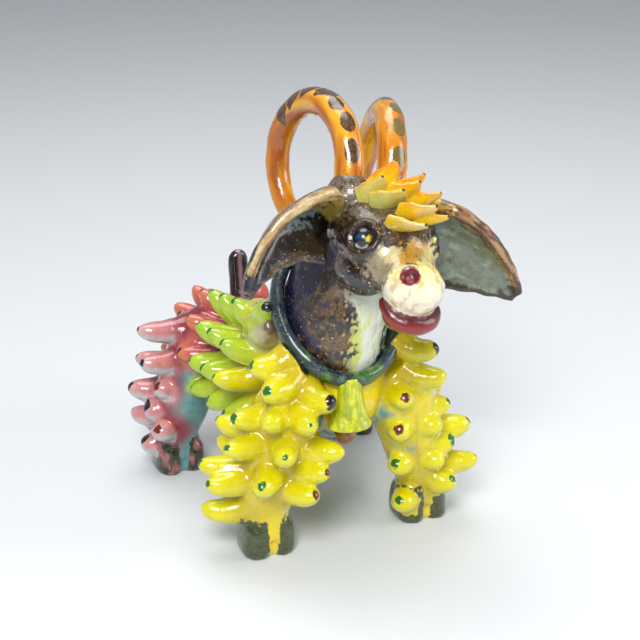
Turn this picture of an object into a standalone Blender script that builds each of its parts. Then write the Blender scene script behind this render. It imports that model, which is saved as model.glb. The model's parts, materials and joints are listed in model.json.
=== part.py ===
"""A glazed earthenware goat, hand built and fired as one piece.

The goat faces -Y and stands on +Z, with +X on its own left. Every form is a closed mesh that
overlaps its carrier, and one Boolean union fuses them all, as slip and glaze do on the real
figurine. Lengths are in metres, and the forms are first placed from the middle between the
fore hooves.
"""

import math

import bmesh
import bpy
from mathutils import Matrix, Vector

# Stance
FORE_STANCE = 0.045  # sideways, from the middle to each fore hoof
HIND_STANCE = 0.055  # sideways, from the middle to each hind hoof
LEG_SPAN = 0.107  # from the fore hooves back to the hind hooves
HOOF_WIDTH = 0.029
HOOF_DEPTH = 0.027
HOOF_HEIGHT = 0.019
CLEFT_DEPTH = 0.0040  # groove between the two toes
ANKLE_RADIUS = 0.0125
KNEE_RADIUS = 0.0160
THIGH_RADIUS = 0.0190

# Barrel of the body
BELLY_HEIGHT = 0.051
BARREL_WIDTH = 0.057
WITHERS_HEIGHT = 0.121
LOIN_HEIGHT = 0.095
CHEST_OVERHANG = 0.017  # chest ahead of the fore hooves
RUMP_OVERHANG = 0.030  # rump behind the hind hooves

# Neck and collar
NECK_WIDTH = 0.054
NECK_DEPTH = 0.068
NECK_TILT = math.radians(46.0)  # slope of the collar, from low in front to high behind
NAPE_WIDTH = 0.038
COLLAR_SETBACK = 0.010  # collar's middle behind the fore hooves
COLLAR_HEIGHT = 0.1215  # collar's middle above the ground
COLLAR_BAND = 0.0105  # width of the strap
COLLAR_THICKNESS = 0.0076

# Head, which leans towards the goat's left
LEAN = math.radians(10.0)
LEAN_PIVOT = 0.080  # height about which the head leans
HEAD_HEIGHT = 0.168  # middle of the skull
HEAD_REACH = 0.066  # muzzle ahead of the fore hooves
SKULL_BACK = 0.026  # back of the skull behind the fore hooves
SKULL_WIDTH = 0.049
SKULL_DEPTH = 0.044
MUZZLE_WIDTH = 0.0285
MUZZLE_DEPTH = 0.027
MUZZLE_DROP = 0.0135  # muzzle's middle below the skull's middle
MUZZLE_ASIDE = -0.0030  # the muzzle is set a little to the goat's right
CHEEK_WIDTH = 0.024
CHEEK_DEPTH = 0.024
LIP_WIDTH = 0.029
LIP_REACH = 0.026  # lower lip, front to back
LIP_DEPTH = 0.019
EYE_RADIUS = 0.0070
NOSTRIL_RADIUS = 0.0052
NOSTRIL_RIM = 0.0014

# Horns: each one curls backwards in a circle until its tip meets the neck
RIGHT_HORN_CURL = 0.0340  # radius of the curl
LEFT_HORN_CURL = 0.0320
HORN_SETBACK = 0.0060  # front of the curl behind the fore hooves
HORN_SPREAD = 0.0115  # root's distance from the middle of the pair
HORN_ASIDE = -0.0030  # the pair is set a little to the goat's right
RIGHT_HORN_SPLAY = 0.0085  # how far the curl moves outwards
LEFT_HORN_SPLAY = 0.0190
HORN_ROOT_RADIUS = 0.0078
HORN_TIP_RADIUS = 0.0050
HORN_SWEEP = math.radians(307.0)

# Ears: cupped leaves that hang out to the sides, the right one folded together
RIGHT_EAR_LENGTH = 0.065
RIGHT_EAR_WIDTH = 0.032
RIGHT_EAR_CUP = 0.0190
RIGHT_EAR_BOW = 0.0175  # how far the ear's midline arches upwards
LEFT_EAR_LENGTH = 0.071
LEFT_EAR_WIDTH = 0.046
LEFT_EAR_CUP = 0.0110
LEFT_EAR_BOW = 0.0045
EAR_WALL = 0.0046

# Forelock: a crest of cupped petals
PETAL_LENGTH = 0.019
PETAL_WIDTH = 0.018
PETAL_WALL = 0.0028
PETAL_CUP = 0.0044

# Bell and tail
BELL_HEIGHT = 0.0225
BELL_TOP_WIDTH = 0.0125
BELL_MOUTH_WIDTH = 0.0235
CLAPPER_RADIUS = 0.0056
TAIL_HEIGHT = 0.028
TAIL_WIDTH = 0.0105
TAIL_OFFSET = -0.005  # the tail stands a little to the goat's right

# Coat: tapering tufts, pulled out of the clay and curved upwards
TUFT_RADIUS = 0.0084
TUFT_CURL = 0.0050  # how far a tuft's middle sags below the line to its tip
FLANK_REACH = 0.028  # from the barrel's skin to a tuft's tip
ROOT_DEPTH = 0.0070  # how deep a flank tuft's root sits below the skin

# Facets of each form
BODY_SIDES = 14
LIMB_SIDES = 12
HORN_SIDES = 8
HORN_RINGS = 17
TUFT_SIDES = 6
COLLAR_STEPS = 20
SHORTEST_EDGE = 0.00025

LEFT, RIGHT = 1, -1  # sides of the goat along X

# Tufts round the legs: degrees from forwards towards the outside, height of the tip, and the
# tip's reach from the leg's middle. The fore legs were made by eye, so each has its own.
RIGHT_FORE_TUFTS = (
    (102, 0.028, 0.034),
    (150, 0.031, 0.032),
    (-20, 0.043, 0.034),
    (86, 0.046, 0.037),
    (104, 0.052, 0.039),
    (34, 0.052, 0.035),
    (-26, 0.054, 0.035),
    (146, 0.054, 0.036),
    (-34, 0.064, 0.037),
    (73, 0.068, 0.038),
    (22, 0.068, 0.036),
    (122, 0.070, 0.036),
    (79, 0.082, 0.036),
    (9, 0.084, 0.036),
    (46, 0.084, 0.033),
    (-12, 0.092, 0.031),
    (56, 0.098, 0.030),
    (90, 0.106, 0.028),
)
LEFT_FORE_TUFTS = (
    (-54, 0.018, 0.024),
    (26, 0.028, 0.024),
    (104, 0.026, 0.028),
    (62, 0.035, 0.033),
    (-54, 0.041, 0.024),
    (148, 0.034, 0.030),
    (10, 0.043, 0.023),
    (38, 0.050, 0.024),
    (96, 0.048, 0.030),
    (66, 0.056, 0.033),
    (-36, 0.063, 0.024),
    (140, 0.056, 0.032),
    (20, 0.064, 0.025),
    (56, 0.071, 0.026),
    (108, 0.072, 0.030),
    (-15, 0.083, 0.025),
    (40, 0.091, 0.030),
    (38, 0.107, 0.029),
)
HIND_TUFTS = (
    (90, 0.021, 0.021),
    (150, 0.026, 0.024),
    (54, 0.032, 0.022),
    (114, 0.035, 0.028),
    (176, 0.040, 0.026),
    (86, 0.042, 0.023),
    (140, 0.044, 0.027),
    (108, 0.051, 0.034),
    (72, 0.056, 0.025),
    (160, 0.060, 0.030),
    (116, 0.066, 0.036),
    (82, 0.071, 0.039),
    (96, 0.087, 0.044),
)
# Rows along each flank: degrees up from level at the front and at the back, the first and the
# last place as shares of the barrel's length, how many, and the shares of FLANK_REACH at both ends
FLANK_ROWS = (
    (38, 42, 0.37, 0.84, 5, 0.94, 0.94),
    (17, 21, 0.31, 0.88, 6, 1.02, 1.06),
    (-3, -2, 0.34, 0.94, 7, 1.04, 1.30),
    (-28, -18, 0.38, 0.90, 6, 1.04, 1.42),
    (-50, -44, 0.48, 0.64, 2, 0.84, 0.84),
)
FRONT_SWEEP = 0.22  # backwards part of a flank tuft's direction at the shoulder
BACK_SWEEP = 0.80  # and at the haunch
# Tufts that close the back of the rump: degrees from backwards to the side, and degrees up
RUMP_TUFTS = ((0, -24), (38, -40), (48, -4), (-38, -40), (-48, -4), (24, 20), (-24, 20))


def clear_scene():
    """Removes what the scene holds at the start."""
    for old in list(bpy.data.objects):
        bpy.data.objects.remove(old)


def blend(low, high, share):
    """The value between two others."""
    return low + (high - low) * share


def smooth_step(share):
    """A share from 0 to 1, eased at both ends."""
    share = min(1.0, max(0.0, share))
    return share * share * (3.0 - 2.0 * share)


def look_up(table, share):
    """Reads a table of rows (share, value, value...) between its rows, half eased."""
    for low, high in zip(table, table[1:]):
        if share <= high[0]:
            part = (share - low[0]) / (high[0] - low[0])
            part = 0.5 * (part + smooth_step(part))
            return [blend(a, b, part) for a, b in zip(low[1:], high[1:])]
    return list(table[-1][1:])


def lean(point, amount=1.0):
    """Turns a point of the upright head by the lean, or by a share of it."""
    pivot = Vector((0.0, 0.0, LEAN_PIVOT))
    return pivot + Matrix.Rotation(LEAN * amount, 3, "Y") @ (point - pivot)


# Closed meshes from rings of points


def closed_object(name, rings, round_trip=False):
    """A closed mesh from rings of points: capped at both ends, or joined round into a hoop."""
    mesh = bmesh.new()
    loops = [[mesh.verts.new(point) for point in ring] for ring in rings]
    pairs = list(zip(loops, loops[1:]))
    if round_trip:
        pairs.append((loops[-1], loops[0]))
    else:
        mesh.faces.new(list(reversed(loops[0])))
        mesh.faces.new(loops[-1])
    for lower, upper in pairs:
        for i in range(len(lower)):
            j = (i + 1) % len(lower)
            mesh.faces.new((lower[i], lower[j], upper[j], upper[i]))
    bmesh.ops.recalc_face_normals(mesh, faces=mesh.faces)
    data = bpy.data.meshes.new(name)
    mesh.to_mesh(data)
    mesh.free()
    form = bpy.data.objects.new(name, data)
    bpy.context.scene.collection.objects.link(form)
    return form


def ellipse(centre, across, along, sides):
    """Points round a centre, with two half axes, swollen to hold the true ellipse's area."""
    step = 2.0 * math.pi / sides
    swell = math.sqrt(step / math.sin(step))
    points = []
    for i in range(sides):
        point = across * math.cos(i * step) + along * math.sin(i * step)
        points.append(centre + point * swell)
    return points


def tube(name, centres, radii, hint, sides, posed=None):
    """A round form along a line of centres; each radius is a pair, along the hint and across."""
    rings = []
    last = len(centres) - 1
    for i, centre in enumerate(centres):
        run = (centres[min(i + 1, last)] - centres[max(i - 1, 0)]).normalized()
        across = (hint - run * hint.dot(run)).normalized()
        wide, deep = radii[i]
        rings.append(ellipse(centre, across * wide, run.cross(across) * deep, sides))
    if posed:
        rings = [[posed(point) for point in ring] for ring in rings]
    return closed_object(name, rings)


def ball(name, centre, size, rings, sides, posed=None):
    """An egg with three half sizes, given as a vector, standing on Z."""
    loops = []
    for i in range(1, rings):
        turn = math.pi * i / rings
        middle = centre - Vector((0.0, 0.0, size.z * math.cos(turn)))
        across = Vector((size.x * math.sin(turn), 0.0, 0.0))
        along = Vector((0.0, size.y * math.sin(turn), 0.0))
        loops.append(ellipse(middle, across, along, sides))
    if posed:
        loops = [[posed(point) for point in ring] for ring in loops]
    return closed_object(name, loops)


# Barrel

BARREL_RINGS = 12
# share of the length, height of the back, height of the belly, share of the width
BARREL_TABLE = (
    (0.00, BELLY_HEIGHT + 0.034, BELLY_HEIGHT + 0.024, 0.08),
    (0.03, BELLY_HEIGHT + 0.046, BELLY_HEIGHT + 0.014, 0.48),
    (0.08, WITHERS_HEIGHT - 0.012, BELLY_HEIGHT + 0.006, 0.80),
    (0.17, WITHERS_HEIGHT, BELLY_HEIGHT, 0.97),
    (0.36, WITHERS_HEIGHT, BELLY_HEIGHT, 1.00),
    (0.60, 0.5 * (WITHERS_HEIGHT + LOIN_HEIGHT), BELLY_HEIGHT, 0.98),
    (0.80, LOIN_HEIGHT, BELLY_HEIGHT + 0.001, 0.96),
    (0.94, LOIN_HEIGHT - 0.007, BELLY_HEIGHT + 0.007, 0.70),
    (1.00, LOIN_HEIGHT - 0.018, BELLY_HEIGHT + 0.018, 0.26),
)


def barrel_section(share):
    """Centre, half width and half height of the barrel at a share of its length."""
    back, belly, width = look_up(BARREL_TABLE, share)
    y = blend(-CHEST_OVERHANG, LEG_SPAN + RUMP_OVERHANG, share)
    return Vector((0.0, y, 0.5 * (back + belly))), 0.5 * BARREL_WIDTH * width, 0.5 * (back - belly)


def make_barrel():
    rings = []
    for i in range(BARREL_RINGS + 1):
        share = 0.5 - 0.5 * math.cos(math.pi * i / BARREL_RINGS)
        centre, wide, high = barrel_section(share)
        across, along = Vector((wide, 0.0, 0.0)), Vector((0.0, 0.0, high))
        rings.append(ellipse(centre, across, along, BODY_SIDES))
    return closed_object("barrel", rings)


# Legs and hooves


def leg_axis(side, stance, y, height):
    """The middle of a leg at a height: upright at the hoof, and leaning in to the barrel."""
    top = 0.40 * BARREL_WIDTH
    rise = smooth_step((height - HOOF_HEIGHT) / (WITHERS_HEIGHT - HOOF_HEIGHT))
    return Vector((side * blend(stance, top, rise), y, height))


def make_leg(name, side, stance, y):
    back = LOIN_HEIGHT if y > 0.5 * LEG_SPAN else WITHERS_HEIGHT
    heights = (
        0.5 * HOOF_HEIGHT,
        1.15 * HOOF_HEIGHT,
        0.70 * BELLY_HEIGHT,
        BELLY_HEIGHT,
        blend(BELLY_HEIGHT, back, 0.42),
        blend(BELLY_HEIGHT, back, 0.66),
        blend(BELLY_HEIGHT, back, 0.78),
    )
    radii = (
        ANKLE_RADIUS,
        ANKLE_RADIUS,
        KNEE_RADIUS,
        1.1 * KNEE_RADIUS,
        THIGH_RADIUS,
        0.72 * THIGH_RADIUS,
        0.30 * THIGH_RADIUS,
    )
    centres = [leg_axis(side, stance, y, height) for height in heights]
    pairs = [(radius, radius) for radius in radii]
    return tube(name, centres, pairs, Vector((1.0, 0.0, 0.0)), LIMB_SIDES)


def hoof_ring(centre, width, depth):
    """A squarish outline with a notch at the front, where the two toes part."""
    points = []
    for i in range(16):
        angle = 2.0 * math.pi * i / 16
        x, y = math.cos(angle), math.sin(angle)
        square = (abs(x) ** 3.2 + abs(y) ** 3.2) ** (-1.0 / 3.2)
        notch = CLEFT_DEPTH * math.exp(-((angle - 1.5 * math.pi) ** 2) / 0.06)
        offset = Vector((0.5 * width * x * square, 0.5 * depth * y * square + notch, 0.0))
        points.append(centre + offset)
    return points


def make_hoof(name, side, stance, y):
    rings = []
    for share, swell in ((0.0, 0.94), (0.12, 1.0), (0.60, 0.98), (1.0, 0.82)):
        centre = leg_axis(side, stance, y, HOOF_HEIGHT * share)
        rings.append(hoof_ring(centre, HOOF_WIDTH * swell, HOOF_DEPTH * swell))
    return closed_object(name, rings)


# Neck, collar and bell


def collar_middle():
    return Vector((0.0, COLLAR_SETBACK, COLLAR_HEIGHT))


def neck_rows():
    """Rows up the neck: middle, half width, half depth, tilt of the section, share of the lean."""
    collar = collar_middle()
    nape = Vector((0.0, 0.0, HEAD_HEIGHT))
    base = collar + Vector((0.0, 0.015, -0.029))
    half, deep = 0.5 * NECK_WIDTH, 0.5 * NECK_DEPTH
    return (
        (base, half, 1.11 * deep, NECK_TILT - math.radians(14.0), 0.0),
        (collar, half, deep, NECK_TILT, 0.0),
        (collar.lerp(nape, 0.42), 0.90 * half, 0.86 * deep, NECK_TILT - math.radians(6.5), 0.35),
        (collar.lerp(nape, 0.78), 0.5 * NAPE_WIDTH, 0.67 * deep, NECK_TILT - math.radians(11.0), 0.85),
        (nape, 0.40 * NAPE_WIDTH, 0.44 * deep, NECK_TILT - math.radians(11.0), 1.0),
    )


def make_neck():
    rings = []
    for centre, wide, deep, tilt, amount in neck_rows():
        along = Vector((0.0, math.cos(tilt), math.sin(tilt))) * deep
        ring = ellipse(centre, Vector((wide, 0.0, 0.0)), along, BODY_SIDES)
        rings.append([lean(point, amount) for point in ring])
    return closed_object("neck", rings)


def collar_axes():
    """Half axes of the collar: across, and up its slope."""
    across = Vector((0.5 * NECK_WIDTH + 0.5 * COLLAR_THICKNESS, 0.0, 0.0))
    slope = Vector((0.0, math.cos(NECK_TILT), math.sin(NECK_TILT)))
    return across, slope * (0.5 * NECK_DEPTH + 0.5 * COLLAR_THICKNESS)


def make_collar():
    """A strap round the neck, thicker in its middle than at its edges."""
    across, along = collar_axes()
    axis = across.cross(along).normalized()
    rings = []
    for i in range(COLLAR_STEPS):
        angle = 2.0 * math.pi * i / COLLAR_STEPS
        spoke = across * math.cos(angle) + along * math.sin(angle)
        out = spoke.normalized() * 0.5 * COLLAR_THICKNESS
        rings.append(ellipse(collar_middle() + spoke, out, axis * 0.5 * COLLAR_BAND, 6))
    return closed_object("collar", rings, round_trip=True)


def bell_top():
    """The top of the bell, on the lowest point of the collar."""
    return collar_middle() - collar_axes()[1] + Vector((-0.005, -0.001, -0.001))


# share of the height down from the top, and the share of the way from top width to mouth width
BELL_PROFILE = ((-0.16, -0.30), (0.0, 0.0), (0.40, 0.20), (0.70, 0.48), (0.90, 0.84), (1.0, 1.0))
BELL_FLATNESS = 0.82  # depth of the bell for its width
BELL_HOLLOW = 0.0035


def make_bell():
    rings = []
    for share, spread in BELL_PROFILE:
        half = 0.5 * blend(BELL_TOP_WIDTH, BELL_MOUTH_WIDTH, spread)
        centre = bell_top() - Vector((0.0, 0.0, BELL_HEIGHT * share))
        rings.append(bell_ring(centre, half))
    mouth = bell_top() - Vector((0.0, 0.0, BELL_HEIGHT))
    rings.append(bell_ring(mouth, 0.76 * 0.5 * BELL_MOUTH_WIDTH))
    rings.append(bell_ring(mouth + Vector((0.0, 0.0, BELL_HOLLOW)), 0.5 * 0.5 * BELL_MOUTH_WIDTH))
    return closed_object("bell", rings)


def bell_ring(centre, half):
    across = Vector((half, 0.0, 0.0))
    along = Vector((0.0, BELL_FLATNESS * half, 0.0))
    return ellipse(centre, across, along, LIMB_SIDES)


def make_clapper():
    centre = bell_top() - Vector((0.0026, 0.0, BELL_HEIGHT + 0.60 * CLAPPER_RADIUS))
    return ball("clapper", centre, Vector((1.0, 1.0, 1.25)) * CLAPPER_RADIUS, 6, 8)


# Head

# share of the length from the nape to the muzzle, drop as a share of MUZZLE_DROP, shares of the
# skull's half width and half depth, shares of the muzzle's half width and half depth
HEAD_TABLE = (
    (0.00, 0.19, 0.26, 0.27, 0.00, 0.00),
    (0.06, 0.05, 0.60, 0.70, 0.00, 0.00),
    (0.19, -0.05, 0.86, 0.93, 0.00, 0.00),
    (0.33, 0.00, 0.98, 1.00, 0.00, 0.00),
    (0.48, 0.12, 1.00, 0.98, 0.00, 0.00),
    (0.59, 0.27, 0.95, 0.91, 0.00, 0.00),
    (0.68, 0.52, 0.40, 0.40, 0.55, 0.57),
    (0.75, 0.83, 0.00, 0.00, 1.00, 1.02),
    (0.83, 0.95, 0.00, 0.00, 1.01, 1.00),
    (0.91, 0.97, 0.00, 0.00, 0.97, 0.94),
    (0.97, 1.00, 0.00, 0.00, 0.70, 0.63),
    (1.00, 1.00, 0.00, 0.00, 0.30, 0.20),
)
HEAD_RINGS = (0.0, 0.03, 0.06, 0.12, 0.20, 0.32, 0.46, 0.57, 0.66, 0.75, 0.84, 0.91, 0.95, 0.98, 1.0)


def head_section(share):
    """Middle, half width and half height of the upright head, from the nape to the muzzle."""
    drop, skull_wide, skull_deep, muzzle_wide, muzzle_deep = look_up(HEAD_TABLE, share)
    wide = 0.5 * (skull_wide * SKULL_WIDTH + muzzle_wide * MUZZLE_WIDTH)
    deep = 0.5 * (skull_deep * SKULL_DEPTH + muzzle_deep * MUZZLE_DEPTH)
    x = MUZZLE_ASIDE * min(1.0, max(0.0, drop))
    y = blend(SKULL_BACK, -HEAD_REACH, share)
    return Vector((x, y, HEAD_HEIGHT - MUZZLE_DROP * drop)), wide, deep


def head_point(side, share, rise):
    """A point of the upright head's skin: the rise is an angle up from the level of its middle."""
    centre, wide, deep = head_section(share)
    return centre + Vector((side * wide * math.cos(rise), 0.0, deep * math.sin(rise)))


def make_head():
    rings = []
    for share in HEAD_RINGS:
        centre, wide, deep = head_section(share)
        across, along = Vector((wide, 0.0, 0.0)), Vector((0.0, 0.0, deep))
        rings.append([lean(point) for point in ellipse(centre, across, along, BODY_SIDES)])
    return closed_object("head", rings)


def make_lip():
    """The lower lip, a flat egg that juts out under the muzzle."""
    centre, wide, deep = head_section(0.82)
    centre = centre - Vector((-0.001, 0.0, deep + 0.10 * LIP_DEPTH))
    size = 0.5 * Vector((LIP_WIDTH, LIP_REACH, LIP_DEPTH))
    return ball("lower_lip", centre, size, 6, LIMB_SIDES, lean)


def make_cheek(side):
    """A full cheek that runs from the jaw to the corner of the mouth."""
    centre = head_point(side, 0.50, 0.0) - Vector((side * 0.46 * CHEEK_WIDTH, 0.0, 0.0))
    centre.z -= 0.55 * (SKULL_DEPTH - CHEEK_DEPTH) + 0.002
    size = 0.5 * Vector((CHEEK_WIDTH, 1.6 * CHEEK_WIDTH, CHEEK_DEPTH))
    return ball("cheek", centre, size, 6, LIMB_SIDES, lean)


EYE_INSETS = {RIGHT: 0.0030, LEFT: 0.0055}  # how deep each eye's middle sits


def make_eye(side):
    place = head_point(side, 0.59, math.radians(12.0))
    centre = place - Vector((side * EYE_INSETS[side], 0.0, 0.0))
    return ball("eye", centre, Vector((1.0, 1.0, 1.0)) * EYE_RADIUS, 6, 8, lean)


NOSTRIL_PLACES = {RIGHT: (0.955, 42.0), LEFT: (0.87, 30.0)}  # share of the head, degrees up


def make_nostril(side):
    """A low ring on the muzzle, open in its middle."""
    out = Vector((side * 0.62, -0.66, 0.42)).normalized()
    share, rise = NOSTRIL_PLACES[side]
    skin = head_point(side, share, math.radians(rise))
    hint = Vector((0.0, 0.0, 1.0))
    aside = (hint - out * hint.dot(out)).normalized() * NOSTRIL_RADIUS
    along = out.cross(aside)
    rings = []
    for height, size in ((-0.003, 0.95), (NOSTRIL_RIM, 1.0), (NOSTRIL_RIM, 0.62), (0.0, 0.5)):
        ring = ellipse(skin + out * height, aside * size, along * size, 8)
        rings.append([lean(point) for point in ring])
    return closed_object("nostril", rings)


# Horns


def horn_point(side, share):
    """The middle of a horn: a circle seen from the side, which moves outwards as it turns."""
    curl = LEFT_HORN_CURL if side == LEFT else RIGHT_HORN_CURL
    splay = LEFT_HORN_SPLAY if side == LEFT else RIGHT_HORN_SPLAY
    centre = Vector((0.0, HORN_SETBACK + curl, HEAD_HEIGHT + 0.46 * SKULL_DEPTH))
    turn = math.radians(194.0) - HORN_SWEEP * share
    out = HORN_SPREAD + splay * math.sin(math.pi * share**1.3) ** 2
    offset = Vector((0.0, math.cos(turn), math.sin(turn))) * curl
    return centre + offset + Vector((side * out + HORN_ASIDE, 0.0, 0.0))


def make_horn(side):
    shares = [i / HORN_RINGS for i in range(HORN_RINGS + 1)]
    centres = [horn_point(side, share) for share in shares]
    radii = [blend(HORN_ROOT_RADIUS, HORN_TIP_RADIUS, share**1.5) for share in shares]
    pairs = [(radius, radius) for radius in radii]
    return tube("horn", centres, pairs, Vector((1.0, 0.0, 0.0)), HORN_SIDES, lean)


# Leaves: the ears and the petals of the forelock


def leaf(name, line, widths, facing, wall, cup, arc):
    """A cupped leaf: its section is a crescent, hollow on the side that looks along `facing`."""
    rings = []
    last = len(line) - 1
    broad = max(widths)
    for i, middle in enumerate(line):
        run = (line[min(i + 1, last)] - line[max(i - 1, 0)]).normalized()
        face = (facing - run * facing.dot(run)).normalized()
        across = run.cross(face)
        share = widths[i] / broad
        thick = wall * (0.5 + 0.5 * share)
        inner, outer = [], []
        for j in range(arc):
            place = 2.0 * j / (arc - 1) - 1.0
            edge = middle + across * (widths[i] * place) + face * (cup * (share * place) ** 2)
            out = (face - across * (2.0 * cup * share * place / broad)).normalized()
            inner.append(edge + out * (0.5 * thick))
            outer.append(edge - out * (0.5 * thick))
        rings.append([lean(point) for point in inner + list(reversed(outer))])
    return closed_object(name, rings)


# share of the length from the root, and the share of the width
EAR_PROFILE = (
    (0.00, 0.44),
    (0.12, 0.80),
    (0.27, 1.00),
    (0.46, 0.93),
    (0.63, 0.73),
    (0.79, 0.48),
    (0.92, 0.24),
    (1.00, 0.08),
)


# Each ear: degrees up the skull, how far inside its skin the root starts, direction to the tip,
# direction of the hollow, length, width, cup and bow
EAR_POSES = {
    RIGHT: (
        (-2.0, -0.0020, (-0.78, -0.47, -0.38), (0.42, -0.89, 0.06)),
        (RIGHT_EAR_LENGTH, RIGHT_EAR_WIDTH, RIGHT_EAR_CUP, RIGHT_EAR_BOW),
    ),
    LEFT: (
        (14.0, 0.0040, (0.79, -0.42, -0.42), (-0.60, -0.75, -0.29)),
        (LEFT_EAR_LENGTH, LEFT_EAR_WIDTH, LEFT_EAR_CUP, LEFT_EAR_BOW),
    ),
}


def make_ear(side):
    """A broad leaf that leaves the skull sideways and hangs, hollow towards the front."""
    (rise, inset, run, facing), (length, width, cup, bow) = EAR_POSES[side]
    root = head_point(side, 0.25, math.radians(rise)) - Vector((side * inset, 0.0, 0.0))
    run = Vector(run).normalized()
    lift = Vector((side * 0.53, 0.0, 0.85))
    line, widths = [], []
    for share, part in EAR_PROFILE:
        arch = bow * math.sin(math.pi * share**0.85)
        line.append(root + run * (length * share) + lift * arch)
        widths.append(0.5 * width * part)
    return leaf("ear", line, widths, Vector(facing), EAR_WALL, cup, 7)


# Petals of the forelock: share along the head, sideways place as a share of the skull's width,
# the sideways, forward and upward parts of the direction, and the share of PETAL_LENGTH
PETALS = (
    (0.36, -0.11, 0.10, 0.30, 0.95, 0.95),
    (0.38, 0.11, 0.50, 0.45, 0.70, 0.90),
    (0.40, -0.31, -0.10, 0.60, 0.60, 1.00),
    (0.46, -0.05, 0.35, 0.75, 0.62, 1.00),
    (0.49, -0.25, 0.05, 0.85, 0.42, 1.05),
    (0.48, 0.15, 0.60, 0.65, 0.48, 0.90),
    (0.56, -0.01, 0.40, 0.85, 0.35, 1.05),
    (0.59, -0.17, 0.22, 0.95, 0.20, 1.15),
    (0.57, 0.15, 0.60, 0.75, 0.25, 0.85),
)
PETAL_PROFILE = ((0.0, 0.72), (0.30, 1.0), (0.62, 0.84), (0.86, 0.46), (1.0, 0.10))


def make_petal(place):
    along, aside, side, forward, up, size = place
    centre, wide, deep = head_section(along)
    x = aside * SKULL_WIDTH
    height = deep * math.sqrt(max(0.0, 1.0 - (x / wide) ** 2))
    root = centre + Vector((x, 0.0, height - 0.0035))
    run = Vector((side, -forward, up)).normalized()
    line, widths = [], []
    for share, width in PETAL_PROFILE:
        rise = Vector((0.0, 0.0, 0.16 * PETAL_LENGTH * share * share))
        line.append(root + run * (PETAL_LENGTH * size * share) + rise)
        widths.append(0.5 * PETAL_WIDTH * size * width)
    return leaf("petal", line, widths, Vector((0.15, 0.50, 0.90)), PETAL_WALL, PETAL_CUP, 3)


# Tail


def make_tail():
    """A short tail that stands up from the rump."""
    centre, wide, high = barrel_section(0.92)
    root = centre + Vector((TAIL_OFFSET, 0.0, high - 0.010))
    line, radii = [], []
    for share, swell in ((0.0, 1.25), (0.30, 1.0), (0.60, 0.82), (0.88, 0.66), (1.0, 0.34)):
        back = 0.007 * math.sin(0.5 * math.pi * share)
        line.append(root + Vector((0.0, back, (TAIL_HEIGHT + 0.010) * share)))
        radii.append((0.5 * TAIL_WIDTH * swell, 0.45 * TAIL_WIDTH * swell))
    return tube("tail", line, radii, Vector((1.0, 0.0, 0.0)), 8)


# Coat

TUFT_PROFILE = ((0.0, 1.0), (0.62, 0.86), (1.0, 0.28))


def tuft(name, root, tip):
    """A finger of clay from its root to its tip, sagging first and curling up at the end."""
    run = tip - root
    line = [root + run * s + Vector((0.0, 0.0, TUFT_CURL * (s * s - s))) for s, _ in TUFT_PROFILE]
    radii = [(TUFT_RADIUS * swell, 0.94 * TUFT_RADIUS * swell) for _, swell in TUFT_PROFILE]
    return tube(name, line, radii, Vector((-run.y, run.x, 0.0)), TUFT_SIDES)


def leg_tufts(side, stance, y, table):
    """Roots and tips of the tufts that stand out round a leg's middle."""
    for turn, height, reach in table:
        angle = math.radians(turn)
        out = Vector((side * math.sin(angle), -math.cos(angle), 0.0))
        middle = leg_axis(side, stance, y, height)
        yield middle + out * 0.35 * KNEE_RADIUS, middle + out * reach


def flank_tufts(side):
    """Roots and tips of rows of tufts along a flank, swept further back towards the haunch."""
    for front, back, first, last, count, near, far in FLANK_ROWS:
        for i in range(count):
            part = i / (count - 1)
            turn = math.radians(blend(front, back, part))
            centre, wide, high = barrel_section(blend(first, last, part))
            out = Vector((side * math.cos(turn), 0.0, math.sin(turn)))
            skin = centre + Vector((side * wide * math.cos(turn), 0.0, high * math.sin(turn)))
            run = (out + Vector((0.0, blend(FRONT_SWEEP, BACK_SWEEP, part), 0.0))).normalized()
            reach = FLANK_REACH * blend(near, far, part)
            yield skin - out * ROOT_DEPTH, skin + run * reach


def rump_tufts():
    """Roots and tips of the tufts that fan out behind the rump."""
    centre, wide, high = barrel_section(0.93)
    for turn, rise in RUMP_TUFTS:
        angle, up = math.radians(turn), math.radians(rise)
        level = Vector((math.sin(angle), math.cos(angle), 0.0)) * math.cos(up)
        run = level + Vector((0.0, 0.0, math.sin(up)))
        root = centre + Vector((0.6 * wide * math.sin(angle), 0.0, 0.6 * high * math.sin(up)))
        yield root, root + run * (FLANK_REACH + 0.004)


def shoulder_tufts(side):
    """Roots and tips of two tufts that point forwards beside the collar, one above the other."""
    for drop, out in ((0.0, 0.009), (0.011, 0.008)):
        tip = collar_middle() + Vector((side * (0.5 * NECK_WIDTH + out), 0.004, 0.008 - drop))
        yield tip + Vector((-side * 0.007, 0.032, -0.017)), tip


def coat():
    """Roots and tips of every tuft."""
    places = list(leg_tufts(RIGHT, FORE_STANCE, 0.0, RIGHT_FORE_TUFTS))
    places += leg_tufts(LEFT, FORE_STANCE, 0.0, LEFT_FORE_TUFTS)
    for side in (RIGHT, LEFT):
        places += leg_tufts(side, HIND_STANCE, LEG_SPAN, HIND_TUFTS)
        places += flank_tufts(side)
        places += shoulder_tufts(side)
    places += rump_tufts()
    return places


# Assembly


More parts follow.
